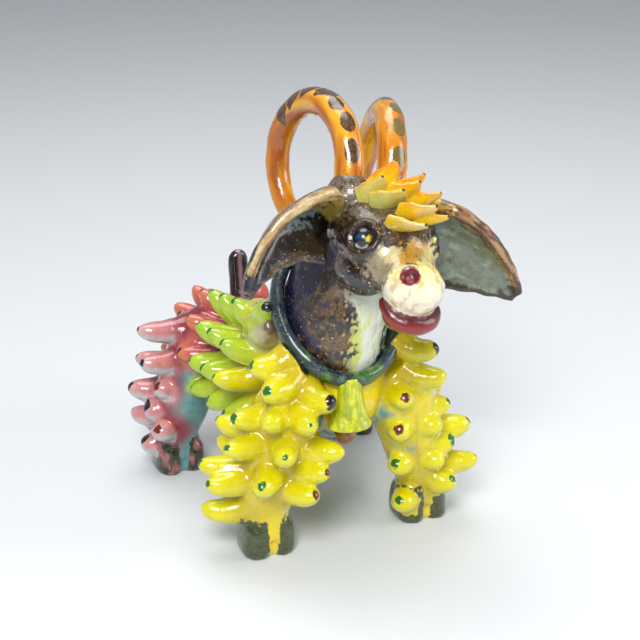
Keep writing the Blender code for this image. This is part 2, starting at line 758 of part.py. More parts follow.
def all_forms():
    """Every form of the goat but the barrel, each a closed mesh that overlaps its carrier."""
    forms = [make_neck(), make_head(), make_lip(), make_collar(), make_bell(), make_clapper()]
    forms.append(make_tail())
    forms += [make_petal(place) for place in PETALS]
    for side in (RIGHT, LEFT):
        forms += [make_cheek(side), make_eye(side), make_nostril(side)]
        forms += [make_horn(side), make_ear(side)]
        forms.append(make_leg("fore_leg", side, FORE_STANCE, 0.0))
        forms.append(make_hoof("fore_hoof", side, FORE_STANCE, 0.0))
        forms.append(make_leg("hind_leg", side, HIND_STANCE, LEG_SPAN))
        forms.append(make_hoof("hind_hoof", side, HIND_STANCE, LEG_SPAN))
    forms += [tuft("tuft", root, tip) for root, tip in coat()]
    return forms


def glaze():
    """Glossy glaze over painted clay, mostly lemon yellow."""
    material = bpy.data.materials.new("glaze")
    material.use_nodes = True
    shader = material.node_tree.nodes["Principled BSDF"]
    shader.inputs["Base Color"].default_value = (0.78, 0.66, 0.05, 1.0)
    shader.inputs["Roughness"].default_value = 0.18
    shader.inputs["Metallic"].default_value = 0.0
    return material


def fuse(body, forms):
    """One mesh that is the union of the body and the forms."""
    group = bpy.data.collections.new("forms")
    bpy.context.scene.collection.children.link(group)
    for form in forms:
        bpy.context.scene.collection.objects.unlink(form)
        group.objects.link(form)
    union = body.modifiers.new("union", "BOOLEAN")
    union.operation = "UNION"
    union.operand_type = "COLLECTION"
    union.collection = group
    union.solver = "EXACT"
    graph = bpy.context.evaluated_depsgraph_get()
    fused = bpy.data.meshes.new_from_object(body.evaluated_get(graph))
    for form in forms:
        bpy.data.objects.remove(form)
    bpy.data.objects.remove(body)
    bpy.data.collections.remove(group)
    return fused


def clean(mesh):
    """Clears the slivers and the pockets that a union leaves where many forms meet."""
    work = bmesh.new()
    work.from_mesh(mesh)
    bmesh.ops.triangulate(work, faces=work.faces)
    while collapse_short_edges(work):
        pass
    close_pockets(work)
    work.to_mesh(mesh)
    work.free()


def collapse_short_edges(work):
    """Collapses short edges that don't touch each other, and says how many.

    An edge is left where more than the corners of its own faces join both its ends, because its
    collapse would pinch the skin there.
    """
    short = [edge for edge in work.edges if edge.calc_length() < SHORTEST_EDGE]
    touched = set()
    count = 0
    for edge in sorted(short, key=lambda edge: edge.calc_length()):
        if not edge.is_valid:
            continue
        near = [{other.other_vert(end) for other in end.link_edges} for end in edge.verts]
        corners = {vertex for face in edge.link_faces for vertex in face.verts} - set(edge.verts)
        if touched & set(edge.verts) or near[0] & near[1] != corners:
            continue
        touched |= near[0] | near[1]
        bmesh.ops.collapse(work, edges=[edge])
        count += 1
    return count


def close_pockets(work):
    """Keeps the outer skin, and drops the skins of pockets sealed in between the tufts."""
    unseen = set(work.verts)
    skins = []
    while unseen:
        front = [unseen.pop()]
        skin = list(front)
        while front:
            for edge in front.pop().link_edges:
                for vertex in edge.verts:
                    if vertex in unseen:
                        unseen.remove(vertex)
                        front.append(vertex)
                        skin.append(vertex)
        skins.append(skin)
    skins.sort(key=len)
    pockets = [vertex for skin in skins[:-1] for vertex in skin]
    bmesh.ops.delete(work, geom=pockets, context="VERTS")


def stand_on_origin(mesh):
    """Puts the middle of the outline seen from above at the origin."""
    xs = [vertex.co.x for vertex in mesh.vertices]
    ys = [vertex.co.y for vertex in mesh.vertices]
    middle = Vector((0.5 * (min(xs) + max(xs)), 0.5 * (min(ys) + max(ys)), 0.0))
    mesh.transform(Matrix.Translation(-middle))


def build():
    clear_scene()
    mesh = fuse(make_barrel(), all_forms())
    clean(mesh)
    stand_on_origin(mesh)
    mesh.materials.clear()
    mesh.materials.append(glaze())
    goat = bpy.data.objects.new("goat", mesh)
    bpy.context.scene.collection.objects.link(goat)
    mesh.shade_smooth()
    mesh.set_sharp_from_angle(angle=math.radians(40.0))


build()
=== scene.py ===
"""The looks of a glazed earthenware goat: its coat of pulled tufts, painted head, horns and bell."""

import json
import math

import bmesh
import bpy
import numpy as np
from bpy.props import FloatProperty, FloatVectorProperty, PointerProperty
from mathutils import Matrix, Vector, noise
from mathutils.kdtree import KDTree


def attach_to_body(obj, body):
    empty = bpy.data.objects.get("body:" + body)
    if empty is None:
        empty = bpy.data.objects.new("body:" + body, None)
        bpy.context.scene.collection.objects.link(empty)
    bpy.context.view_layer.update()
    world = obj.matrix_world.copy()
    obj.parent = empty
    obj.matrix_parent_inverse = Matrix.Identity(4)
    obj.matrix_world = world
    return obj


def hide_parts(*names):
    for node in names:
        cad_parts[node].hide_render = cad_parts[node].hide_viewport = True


bl_info = {
    "name": "Glazed Goat",
    "version": (1, 0, 0),
    "blender": (4, 5, 0),
    "location": "3D View > Sidebar > Goat",
    "description": "Models and glazes a hand-built earthenware goat",
    "category": "Object",
}

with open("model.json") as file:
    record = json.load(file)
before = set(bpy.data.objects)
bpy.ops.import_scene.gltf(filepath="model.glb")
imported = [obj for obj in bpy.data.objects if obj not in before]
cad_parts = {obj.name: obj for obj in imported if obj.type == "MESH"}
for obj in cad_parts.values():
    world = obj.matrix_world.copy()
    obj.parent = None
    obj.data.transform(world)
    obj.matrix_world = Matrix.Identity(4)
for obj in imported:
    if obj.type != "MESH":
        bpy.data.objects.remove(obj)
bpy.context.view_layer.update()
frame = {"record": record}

# Stance, read from the frame: the four hoof soles
SOLES = {mount["name"]: Vector(mount["pos_m"]) for mount in frame["record"]["mounts"]}
HOME = 0.5 * (SOLES["right_fore_hoof"] + SOLES["left_fore_hoof"])
FORE_STANCE = 0.5 * (SOLES["left_fore_hoof"].x - SOLES["right_fore_hoof"].x)
HIND_STANCE = 0.5 * (SOLES["left_hind_hoof"].x - SOLES["right_hind_hoof"].x)
LEG_SPAN = SOLES["left_hind_hoof"].y - SOLES["left_fore_hoof"].y

# Legs and hooves
HOOF_WIDTH = 0.029
HOOF_DEPTH = 0.027
HOOF_HEIGHT = 0.019
CLEFT_DEPTH = 0.0042
ANKLE_RADIUS = 0.0125
KNEE_RADIUS = 0.0160
THIGH_RADIUS = 0.0190

# Barrel
BELLY_HEIGHT = 0.051
BARREL_WIDTH = 0.057
WITHERS_HEIGHT = 0.121
LOIN_HEIGHT = 0.095
CHEST_OVERHANG = 0.017
RUMP_OVERHANG = 0.030

# Neck and collar
NECK_WIDTH = 0.054
NECK_DEPTH = 0.068
NECK_TILT = math.radians(46.0)
NAPE_WIDTH = 0.038
COLLAR_SETBACK = 0.010
COLLAR_HEIGHT = 0.1215

# Head, which leans towards the goat's left
LEAN = math.radians(10.0)
LEAN_PIVOT = 0.080
HEAD_HEIGHT = 0.168
HEAD_REACH = 0.066
SKULL_BACK = 0.026
SKULL_WIDTH = 0.049
SKULL_DEPTH = 0.044
MUZZLE_WIDTH = 0.0285
MUZZLE_DEPTH = 0.027
MUZZLE_DROP = 0.0135
MUZZLE_ASIDE = -0.0030
CHEEK_WIDTH = 0.024
CHEEK_DEPTH = 0.024
LIP_WIDTH = 0.029
LIP_REACH = 0.026
LIP_DEPTH = 0.019
LID_REACH = 0.0092  # from the middle of an eye to the outside of its lids
LID_RISE = 0.0016
SOCKET_DEPTH = 0.0018
NOSTRIL_RADIUS = 0.0052
NOSTRIL_DEPTH = 0.0030
NOSTRIL_RIM = 0.0007
CROWN_SIZE = Vector((0.0112, 0.0125, 0.0125))  # half sizes of the mound round a horn's root
UPPER_LIP_MIDDLE = Vector((-0.0030, -0.0515, 0.1555))
UPPER_LIP_SIZE = Vector((0.0145, 0.0145, 0.0085))
LIP_ROLL_WIDTH = 0.0135
LIP_ROLL_REACH = 0.0105
LIP_ROLL_RISE = 0.0062
LIP_ROLL_DIP = 0.0072

# Horns
RIGHT_HORN_CURL = 0.0340
LEFT_HORN_CURL = 0.0320
HORN_SETBACK = 0.0060
HORN_SPREAD = 0.0115
HORN_ASIDE = -0.0030
RIGHT_HORN_SPLAY = 0.0085
LEFT_HORN_SPLAY = 0.0190
HORN_SWEEP = math.radians(307.0)
HORN_START = math.radians(194.0)

# Ears and forelock
RIGHT_EAR_LENGTH = 0.065
RIGHT_EAR_WIDTH = 0.032
RIGHT_EAR_CUP = 0.0190
RIGHT_EAR_BOW = 0.0175
LEFT_EAR_LENGTH = 0.071
LEFT_EAR_WIDTH = 0.046
LEFT_EAR_CUP = 0.0110
LEFT_EAR_BOW = 0.0045
PETAL_CUP = 0.0050
PETAL_ROOT_DEPTH = 0.0035

# Bell and tail
BELL_SHIFT = Vector((-0.005, -0.001, -0.001))  # from the lowest point of the collar
BELL_TOP_WIDTH = 0.0125
BELL_FLATNESS = 0.82
CLAPPER_ASIDE = 0.0026
CLAPPER_DROP = 0.60  # below the bell's mouth, in radii of the clapper
CLAPPER_STRETCH = 1.25
TAIL_HEIGHT = 0.028
TAIL_WIDTH = 0.0105
TAIL_OFFSET = -0.005

# Coat
FLANK_REACH = 0.028
ROOT_DEPTH = 0.0070
LEMON_END = 0.36  # shares of the barrel's length where one glaze gives way to the next
LIME_END = 0.62

LEFT, RIGHT = 1, -1
MM = 1000.0
UP = Vector((0.0, 0.0, 1.0))
SIDEWAYS = Vector((1.0, 0.0, 0.0))

# Marks at the tips of the tufts
BARE, GREEN, BROWN, BLACK, TAN = range(5)

# Tufts round the fore legs: degrees from forwards towards the outside, height of the tip, reach
# from the leg's middle, and the mark on the tip
RIGHT_FORE_TUFTS = (
    (102, 0.028, 0.034, BARE),
    (150, 0.031, 0.032, GREEN),
    (-20, 0.043, 0.034, BROWN),
    (86, 0.046, 0.037, GREEN),
    (104, 0.052, 0.039, GREEN),
    (34, 0.052, 0.035, GREEN),
    (-26, 0.054, 0.035, BROWN),
    (146, 0.054, 0.036, GREEN),
    (-34, 0.064, 0.037, BARE),
    (73, 0.068, 0.038, GREEN),
    (22, 0.068, 0.036, GREEN),
    (122, 0.070, 0.036, GREEN),
    (79, 0.082, 0.036, GREEN),
    (9, 0.084, 0.036, GREEN),
    (46, 0.084, 0.033, BARE),
    (-12, 0.092, 0.031, BLACK),
    (56, 0.098, 0.030, GREEN),
    (90, 0.106, 0.028, GREEN),
)
LEFT_FORE_TUFTS = (
    (-54, 0.018, 0.024, GREEN),
    (26, 0.028, 0.024, GREEN),
    (104, 0.026, 0.028, BARE),
    (62, 0.035, 0.033, BROWN),
    (-54, 0.041, 0.024, GREEN),
    (148, 0.034, 0.030, GREEN),
    (10, 0.043, 0.023, BARE),
    (38, 0.050, 0.024, GREEN),
    (96, 0.048, 0.030, GREEN),
    (66, 0.056, 0.033, BROWN),
    (-36, 0.063, 0.024, BROWN),
    (140, 0.056, 0.032, GREEN),
    (20, 0.064, 0.025, BARE),
    (56, 0.071, 0.026, GREEN),
    (108, 0.072, 0.030, GREEN),
    (-15, 0.083, 0.025, BROWN),
    (40, 0.091, 0.030, BARE),
    (38, 0.107, 0.029, BLACK),
)
HIND_TUFTS = (
    (90, 0.021, 0.021, BLACK),
    (150, 0.026, 0.024, BARE),
    (54, 0.032, 0.022, BROWN),
    (114, 0.035, 0.028, BROWN),
    (176, 0.040, 0.026, BARE),
    (86, 0.042, 0.023, BLACK),
    (140, 0.044, 0.027, BROWN),
    (108, 0.051, 0.034, BLACK),
    (72, 0.056, 0.025, BROWN),
    (160, 0.060, 0.030, BLACK),
    (116, 0.066, 0.036, BROWN),
    (82, 0.071, 0.039, BLACK),
    (96, 0.087, 0.044, BROWN),
)
# Rows along each flank: degrees up from level at the front and at the back, the first and last
# place as shares of the barrel's length, how many, and the shares of FLANK_REACH at both ends
FLANK_ROWS = (
    (38, 42, 0.37, 0.84, 5, 0.94, 0.94),
    (17, 21, 0.31, 0.88, 6, 1.02, 1.06),
    (-3, -2, 0.34, 0.94, 7, 1.04, 1.30),
    (-28, -18, 0.38, 0.90, 6, 1.04, 1.42),
    (-50, -44, 0.48, 0.64, 2, 0.84, 0.84),
)
FRONT_SWEEP = 0.22
BACK_SWEEP = 0.80
# Round the rump: degrees from backwards, and degrees up
RUMP_TUFTS = ((0, -24), (38, -40), (48, -4), (-38, -40), (-48, -4), (24, 20), (-24, 20))
# At each end of the collar: drop below the first, reach past the neck, glaze and mark
SHOULDER_TUFTS = ((0.0, 0.009, "lime", BLACK), (0.011, 0.008, "cream", TAN))

# How finely the forms are cut
COAT_VOXEL = 0.0010
HEAD_VOXEL = 0.0008
PETAL_VOXEL = 0.0005
MOST_TRIANGLES = 190000
BALL_RINGS = 24
BALL_SIDES = 32
BARREL_RINGS = 48
BARREL_SIDES = 64
LEG_RINGS = 30
LEG_SIDES = 40
HOOF_SIDES = 72
NECK_SIDES = 72
COAT_NECK_STEPS = 12
HEAD_NECK_STEPS = 24
HEAD_RINGS = 64
HEAD_SIDES = 72
LIP_STEPS = 40
LIP_SIDES = 20
TUFT_STEPS = 14
TUFT_SIDES = 18
TAIL_STEPS = 40
TAIL_SIDES = 18
EAR_STEPS = 44
EAR_ARC = 25
PETAL_STEPS = 20
PETAL_ARC = 13
RIM_SIDES = 16
HORN_STEPS = 200
HORN_SIDES = 48
COLLAR_RINGS = 200
COLLAR_SIDES = 28
BELL_RINGS = 48
BELL_SIDES = 64

# A distance from a painted mark, in shares of its size, at which nothing of it shows
UNMARKED = 9.0


def srgb(red, green, blue):
    """A colour as a painter reads it, from 0 to 255, as linear light."""
    values = []
    for part in (red, green, blue):
        part /= 255.0
        values.append(part / 12.92 if part <= 0.04045 else ((part + 0.055) / 1.055) ** 2.4)
    return tuple(values)


def blend(low, high, share):
    """The value between two others."""
    return low + (high - low) * share


def smooth_step(share):
    """A share from 0 to 1, eased at both ends. It takes numbers and arrays."""
    share = np.clip(share, 0.0, 1.0)
    return share * share * (3.0 - 2.0 * share)


def ramp(value, low, high):
    """How far a value is from low to high, eased."""
    return smooth_step((value - low) / (high - low))


def look_up(table, share):
    """Reads a table of rows (share, value, value...) between its rows, half eased."""
    for low, high in zip(table, table[1:]):
        if share <= high[0]:
            part = (share - low[0]) / (high[0] - low[0])
            part = 0.5 * (part + float(smooth_step(part)))
            return [blend(a, b, part) for a, b in zip(low[1:], high[1:])]
    return list(table[-1][1:])


def lean(point, amount=1.0):
    """Turns a point of the upright head by the lean, or by a share of it."""
    pivot = Vector((0.0, 0.0, LEAN_PIVOT))
    return pivot + Matrix.Rotation(LEAN * amount, 3, "Y") @ (point - pivot)


# Closed meshes from rings of points


class Clay:
    """Closed forms gathered into one mesh, in the goat's own places."""

    def __init__(self):
        """Starts with nothing."""
        self.points = []
        self.faces = []

    def rings(self, rings, round_trip=False):
        """Adds a form from rings of points: capped at both ends, or joined round into a hoop."""
        start = len(self.points)
        size = len(rings[0])
        for ring in rings:
            self.points.extend(ring)
        count = len(rings)
        if not round_trip:
            self.faces.append([start + i for i in reversed(range(size))])
            self.faces.append([start + (count - 1) * size + i for i in range(size)])
        for k in range(count if round_trip else count - 1):
            low = start + k * size
            high = start + (k + 1) % count * size
            for i in range(size):
                j = (i + 1) % size
                self.faces.append([low + i, low + j, high + j, high + i])
        return np.array([tuple(p) for p in self.points[start:]])

    def tube(self, centres, radii, hint, sides, posed=None):
        """A round form along a line of centres; each radius is a pair, along the hint and across."""
        rings = []
        last = len(centres) - 1
        for i, centre in enumerate(centres):
            run = (centres[min(i + 1, last)] - centres[max(i - 1, 0)]).normalized()
            across = (hint - run * hint.dot(run)).normalized()
            wide, deep = radii[i]
            rings.append(ellipse(centre, across * wide, run.cross(across) * deep, sides))
        if posed:
            rings = [[posed(point) for point in ring] for ring in rings]
        return self.rings(rings)

    def ball(self, centre, size, posed=None):
        """An egg with three half sizes, standing on Z."""
        loops = []
        for i in range(1, BALL_RINGS):
            turn = math.pi * i / BALL_RINGS
            middle = centre - Vector((0.0, 0.0, size.z * math.cos(turn)))
            across = Vector((size.x * math.sin(turn), 0.0, 0.0))
            along = Vector((0.0, size.y * math.sin(turn), 0.0))
            loops.append(ellipse(middle, across, along, BALL_SIDES))
        if posed:
            loops = [[posed(point) for point in ring] for ring in loops]
        return self.rings(loops)

    def done(self, name):
        """The object, with its faces pointing out and moved from the fore hooves to the frame."""
        mesh = bpy.data.meshes.new(name)
        mesh.from_pydata([tuple(p) for p in self.points], [], self.faces)
        mesh.transform(Matrix.Translation(HOME))
        work = bmesh.new()
        work.from_mesh(mesh)
        bmesh.ops.recalc_face_normals(work, faces=work.faces)
        work.to_mesh(mesh)
        work.free()
        mesh.shade_smooth()
        piece = bpy.data.objects.new(name, mesh)
        bpy.context.scene.collection.objects.link(piece)
        return piece


def ellipse(centre, across, along, sides):
    """Points round a centre, with two half axes."""
    points = []
    for i in range(sides):
        angle = 2.0 * math.pi * i / sides
        points.append(centre + across * math.cos(angle) + along * math.sin(angle))
    return points


def settle(piece, voxel, passes):
    """Fuses a piece's forms into one skin, softens it as glaze does, and thins its mesh."""
    remesh = piece.modifiers.new("fuse", "REMESH")
    remesh.mode = "VOXEL"
    remesh.voxel_size = voxel
    soften = piece.modifiers.new("soften", "SMOOTH")
    soften.factor = 0.5
    soften.iterations = passes
    graph = bpy.context.evaluated_depsgraph_get()
    fused = bpy.data.meshes.new_from_object(piece.evaluated_get(graph))
    piece.modifiers.clear()
    swap_mesh(piece, fused)
    count = sum(len(face.vertices) - 2 for face in fused.polygons)
    if count > MOST_TRIANGLES:
        thin = piece.modifiers.new("thin", "DECIMATE")
        thin.ratio = MOST_TRIANGLES / count
        graph = bpy.context.evaluated_depsgraph_get()
        thinned = bpy.data.meshes.new_from_object(piece.evaluated_get(graph))
        piece.modifiers.clear()
        swap_mesh(piece, thinned)
    piece.data.shade_smooth()


def swap_mesh(piece, mesh):
    """Gives a piece a new mesh under the old one's name."""
    old = piece.data
    name = old.name
    piece.data = mesh
    bpy.data.meshes.remove(old)
    mesh.name = name


def places_of(piece):
    """Every vertex of a piece, from the fore hooves, in metres."""
    places = np.zeros(len(piece.data.vertices) * 3, np.float32)
    piece.data.vertices.foreach_get("co", places)
    return places.reshape(-1, 3).astype(float) - np.array(HOME)


def normals_of(piece):
    """Every vertex's normal."""
    normals = np.zeros(len(piece.data.vertices) * 3, np.float32)
    piece.data.vertices.foreach_get("normal", normals)
    return normals.reshape(-1, 3).astype(float)


def put_places(piece, places):
    """Moves every vertex of a piece."""
    moved = (places + np.array(HOME)).astype(np.float32)
    piece.data.vertices.foreach_set("co", moved.ravel())
    piece.data.update()


def keep_value(piece, name, values):
    """Stores one number for each vertex."""
    attribute = piece.data.attributes.new(name, "FLOAT", "POINT")
    attribute.data.foreach_set("value", np.asarray(values, np.float32))


def keep_colour(piece, name, colours):
    """Stores one colour for each vertex."""
    attribute = piece.data.attributes.new(name, "FLOAT_COLOR", "POINT")
    full = np.ones((len(colours), 4), np.float32)
    full[:, :3] = colours
    attribute.data.foreach_set("color", full.ravel())


def keep_vector(piece, name, vectors):
    """Stores one vector for each vertex."""
    attribute = piece.data.attributes.new(name, "FLOAT_VECTOR", "POINT")
    attribute.data.foreach_set("vector", np.asarray(vectors, np.float32).ravel())


def soft_noise(spots, size, seed):
    """Soft noise around 0 at each spot, with features about that size across."""
    shift = Vector((seed, 1.7 * seed, 2.3 * seed))
    return np.array([noise.fractal(Vector(spot) / size + shift, 1.0, 2.0, 3) for spot in spots])


class Paint:
    """Colours laid over a piece's vertices, and how mottled each place is."""

    def __init__(self, spots, colour, mottled=0.0):
        """Covers every spot with one colour."""
        self.spots = spots  # in millimetres
        self.colours = np.tile(np.array(colour, float), (len(spots), 1))
        self.mottled = np.full(len(spots), mottled)

    def cloud(self, size, seed):
        """Soft noise around 0, with features about that many millimetres across."""
        return soft_noise(self.spots, size, seed)

    def blot(self, middle, reach, wobble):
        """1 inside an egg-shaped patch and 0 outside it, with an uneven edge."""
        gap = np.linalg.norm((self.spots - np.array(middle)) / np.array(reach), axis=1)
        return ramp(gap + 0.6 * wobble, 1.2, 0.85)

    def lay(self, cover, colour, mottled=None):
        """Lays a colour over the others, fully where the cover is 1."""
        cover = np.clip(cover, 0.0, 1.0)
        self.colours += (np.array(colour) - self.colours) * cover[:, None]
        if mottled is not None:
            self.mottled += (mottled - self.mottled) * cover

    def keep(self, piece):
        """Stores the colours on the piece."""
        keep_colour(piece, "paint", self.colours)
        keep_value(piece, "mottled", self.mottled)


def ripple(piece, height, size, seed):
    """Leaves the shallow unevenness of hand-worked clay."""
    places, normals = places_of(piece), normals_of(piece)
    shift = Vector((seed, 2.0 * seed, 3.0 * seed))
    bumps = np.array([noise.noise(Vector(p) / size + shift) for p in places])
    put_places(piece, places + normals * (height * bumps)[:, None])


def attach(piece):
    """Lets a piece ride with the goat and stand for its solid."""
    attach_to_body(piece, "root")
    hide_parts("goat")


# Barrel, legs and hooves

# share of the length, height of the back, height of the belly, share of the width
BARREL_TABLE = (
    (0.00, BELLY_HEIGHT + 0.034, BELLY_HEIGHT + 0.024, 0.08),
    (0.03, BELLY_HEIGHT + 0.046, BELLY_HEIGHT + 0.014, 0.48),
    (0.08, WITHERS_HEIGHT - 0.012, BELLY_HEIGHT + 0.006, 0.80),
    (0.17, WITHERS_HEIGHT, BELLY_HEIGHT, 0.97),
    (0.36, WITHERS_HEIGHT, BELLY_HEIGHT, 1.00),
    (0.60, 0.5 * (WITHERS_HEIGHT + LOIN_HEIGHT), BELLY_HEIGHT, 0.98),
    (0.80, LOIN_HEIGHT, BELLY_HEIGHT + 0.001, 0.96),
    (0.94, LOIN_HEIGHT - 0.007, BELLY_HEIGHT + 0.007, 0.70),
    (1.00, LOIN_HEIGHT - 0.018, BELLY_HEIGHT + 0.018, 0.26),
)


def barrel_section(share):
    """Centre, half width and half height of the barrel at a share of its length."""
    back, belly, width = look_up(BARREL_TABLE, share)
    y = blend(-CHEST_OVERHANG, LEG_SPAN + RUMP_OVERHANG, share)
    return Vector((0.0, y, 0.5 * (back + belly))), 0.5 * BARREL_WIDTH * width, 0.5 * (back - belly)


def add_barrel(clay):
    """The body from the chest to the rump."""
    rings = []
    for i in range(BARREL_RINGS + 1):
        share = 0.5 - 0.5 * math.cos(math.pi * i / BARREL_RINGS)
        centre, wide, high = barrel_section(share)
        rings.append(ellipse(centre, SIDEWAYS * wide, UP * high, BARREL_SIDES))
    clay.rings(rings)


def leg_axis(side, stance, y, height):
    """The middle of a leg at a height: upright at the hoof, and leaning in to the barrel."""
    top = 0.40 * BARREL_WIDTH
    rise = float(smooth_step((height - HOOF_HEIGHT) / (WITHERS_HEIGHT - HOOF_HEIGHT)))
    return Vector((side * blend(stance, top, rise), y, height))


# height above the ground, and the leg's radius there
LEG_TABLE = (
    (0.50 * HOOF_HEIGHT, ANKLE_RADIUS),
    (1.15 * HOOF_HEIGHT, ANKLE_RADIUS),
    (0.70 * BELLY_HEIGHT, KNEE_RADIUS),
    (BELLY_HEIGHT, 1.1 * KNEE_RADIUS),
    (BELLY_HEIGHT + 0.024, THIGH_RADIUS),
    (BELLY_HEIGHT + 0.038, 0.72 * THIGH_RADIUS),
    (BELLY_HEIGHT + 0.045, 0.30 * THIGH_RADIUS),
)


def add_leg(clay, side, stance, y):
    """A leg from inside the hoof to inside the barrel."""
    centres, radii = [], []
    for height in np.linspace(LEG_TABLE[0][0], LEG_TABLE[-1][0], LEG_RINGS):
        radius = look_up(LEG_TABLE, height)[0]
        centres.append(leg_axis(side, stance, y, height))
        radii.append((radius, radius))
    clay.tube(centres, radii, SIDEWAYS, LEG_SIDES)


def hoof_ring(centre, width, depth):
    """A squarish outline with a notch at the front, where the two toes part."""
    points = []
    for i in range(HOOF_SIDES):
        angle = 2.0 * math.pi * i / HOOF_SIDES
        x, y = math.cos(angle), math.sin(angle)
        square = (abs(x) ** 3.2 + abs(y) ** 3.2) ** (-1.0 / 3.2)
        notch = CLEFT_DEPTH * math.exp(-((angle - 1.5 * math.pi) ** 2) / 0.05)
        offset = Vector((0.5 * width * x * square, 0.5 * depth * y * square + notch, 0.0))
        points.append(centre + offset)
    return points


# share of a hoof's height, and the share of its width there
HOOF_TABLE = ((0.0, 0.94), (0.05, 0.98), (0.15, 1.0), (0.60, 0.98), (0.85, 0.92), (1.0, 0.80))


def add_hoof(clay, side, stance, y):
    """A cloven hoof, flat underneath."""
    rings = []
    for share, swell in HOOF_TABLE:
        centre = leg_axis(side, stance, y, HOOF_HEIGHT * share)
        rings.append(hoof_ring(centre, HOOF_WIDTH * swell, HOOF_DEPTH * swell))
    clay.rings(rings)


# Neck

# The coat's part of the neck runs from share 0, and the head's part to share 1. They overlap under
# the collar.
COAT_NECK_END = 0.27
HEAD_NECK_START = 0.23


def collar_middle():
    """The middle of the collar, inside the neck."""
    return Vector((0.0, COLLAR_SETBACK, COLLAR_HEIGHT))


def neck_rows():
    """Rows up the neck: share, middle, half width, half depth, tilt and share of the lean."""
    collar = collar_middle()
    nape = Vector((0.0, 0.0, HEAD_HEIGHT))
    base = collar + Vector((0.0, 0.015, -0.029))
    half, deep = 0.5 * NECK_WIDTH, 0.5 * NECK_DEPTH
    rows = (
        (base, half, 1.11 * deep, NECK_TILT - math.radians(14.0), 0.0),
        (collar, half, deep, NECK_TILT, 0.0),
        (collar.lerp(nape, 0.42), 0.90 * half, 0.86 * deep, NECK_TILT - math.radians(6.5), 0.35),
        (collar.lerp(nape, 0.78), 0.5 * NAPE_WIDTH, 0.67 * deep, NECK_TILT - math.radians(11.0), 0.85),
        (nape, 0.40 * NAPE_WIDTH, 0.44 * deep, NECK_TILT - math.radians(11.0), 1.0),
    )
    table = []
    for share, (middle, wide, high, tilt, amount) in zip((0.0, 0.25, 0.5, 0.8, 1.0), rows):
        table.append((share, middle.y, middle.z, wide, high, tilt, amount))
    return tuple(table)


def neck_ring(share):
    """The ring of points round the neck at a share of its length."""
    y, z, wide, deep, tilt, amount = look_up(neck_rows(), share)
    along = Vector((0.0, math.cos(tilt), math.sin(tilt))) * deep
    ring = ellipse(Vector((0.0, y, z)), SIDEWAYS * wide, along, NECK_SIDES)
    return [lean(point, amount) for point in ring]


def collar_axes(thickness):
    """Half axes of the collar: across, and up its slope."""
    slope = Vector((0.0, math.cos(NECK_TILT), math.sin(NECK_TILT)))
    return SIDEWAYS * 0.5 * (NECK_WIDTH + thickness), slope * 0.5 * (NECK_DEPTH + thickness)


# Coat


class Tuft:
    """One finger of clay: its root, tip, glaze, the mark on its tip, and its girth."""

    def __init__(self, root, tip, glaze, mark):
        """Starts with an even girth, which the coat varies."""
        self.root = root
        self.tip = tip
        self.glaze = glaze
        self.mark = mark
        self.girth = 1.0


def leg_tufts(side, stance, y, table, glaze):
    """Tufts round one leg, from its table."""
    for turn, height, reach, mark in table:
        angle = math.radians(turn)
        out = Vector((side * math.sin(angle), -math.cos(angle), 0.0))
        middle = leg_axis(side, stance, y, height)
        yield Tuft(middle + out * 0.35 * KNEE_RADIUS, middle + out * reach, glaze, mark)


def flank_tufts(side):
    """Rows of tufts along one flank, swept back more and more towards the rump."""
    for row, (front, back, first, last, count, near, far) in enumerate(FLANK_ROWS):
        for i in range(count):
            part = i / (count - 1)
            turn = math.radians(blend(front, back, part))
            share = blend(first, last, part)
            centre, wide, high = barrel_section(share)
            out = Vector((side * math.cos(turn), 0.0, math.sin(turn)))
            skin = centre + Vector((side * wide * math.cos(turn), 0.0, high * math.sin(turn)))
            run = (out + Vector((0.0, blend(FRONT_SWEEP, BACK_SWEEP, part), 0.0))).normalized()
            if share < LEMON_END and row > 1:
                glaze = "lemon"
            elif share < LIME_END:
                glaze = "lime"
            else:
                glaze = "salmon"
            if share < LIME_END:
                mark = GREEN
            else:
                mark = BLACK if (i + row) % 2 else BROWN
            reach = FLANK_REACH * blend(near, far, part)
            yield Tuft(skin - out * ROOT_DEPTH, skin + run * reach, glaze, mark)


def rump_tufts():
    """A fan of tufts that closes the coat behind."""
    centre, wide, high = barrel_section(0.93)
    for i, (turn, rise) in enumerate(RUMP_TUFTS):
        angle, up = math.radians(turn), math.radians(rise)
        level = Vector((math.sin(angle), math.cos(angle), 0.0)) * math.cos(up)
        run = level + Vector((0.0, 0.0, math.sin(up)))
        root = centre + Vector((0.6 * wide * math.sin(angle), 0.0, 0.6 * high * math.sin(up)))
        yield Tuft(root, root + run * (FLANK_REACH + 0.004), "salmon", BLACK if i % 2 else BROWN)


def shoulder_tufts(side):
    """Two small tufts beside the collar."""
    for drop, out, glaze, mark in SHOULDER_TUFTS:
        tip = collar_middle() + Vector((side * (0.5 * NECK_WIDTH + out), 0.004, 0.008 - drop))
        yield Tuft(tip + Vector((-side * 0.007, 0.032, -0.017)), tip, glaze, mark)


def coat_tufts():
    """Every tuft."""
    tufts = list(leg_tufts(RIGHT, FORE_STANCE, 0.0, RIGHT_FORE_TUFTS, "lemon"))
    tufts += leg_tufts(LEFT, FORE_STANCE, 0.0, LEFT_FORE_TUFTS, "lemon")
    for side in (RIGHT, LEFT):
        tufts += leg_tufts(side, HIND_STANCE, LEG_SPAN, HIND_TUFTS, "shell")
        tufts += flank_tufts(side)
        tufts += shoulder_tufts(side)
    tufts += rump_tufts()
    draw = np.random.default_rng(7)
    for tuft in tufts:
        tuft.girth = draw.uniform(0.92, 1.06)
    return tufts


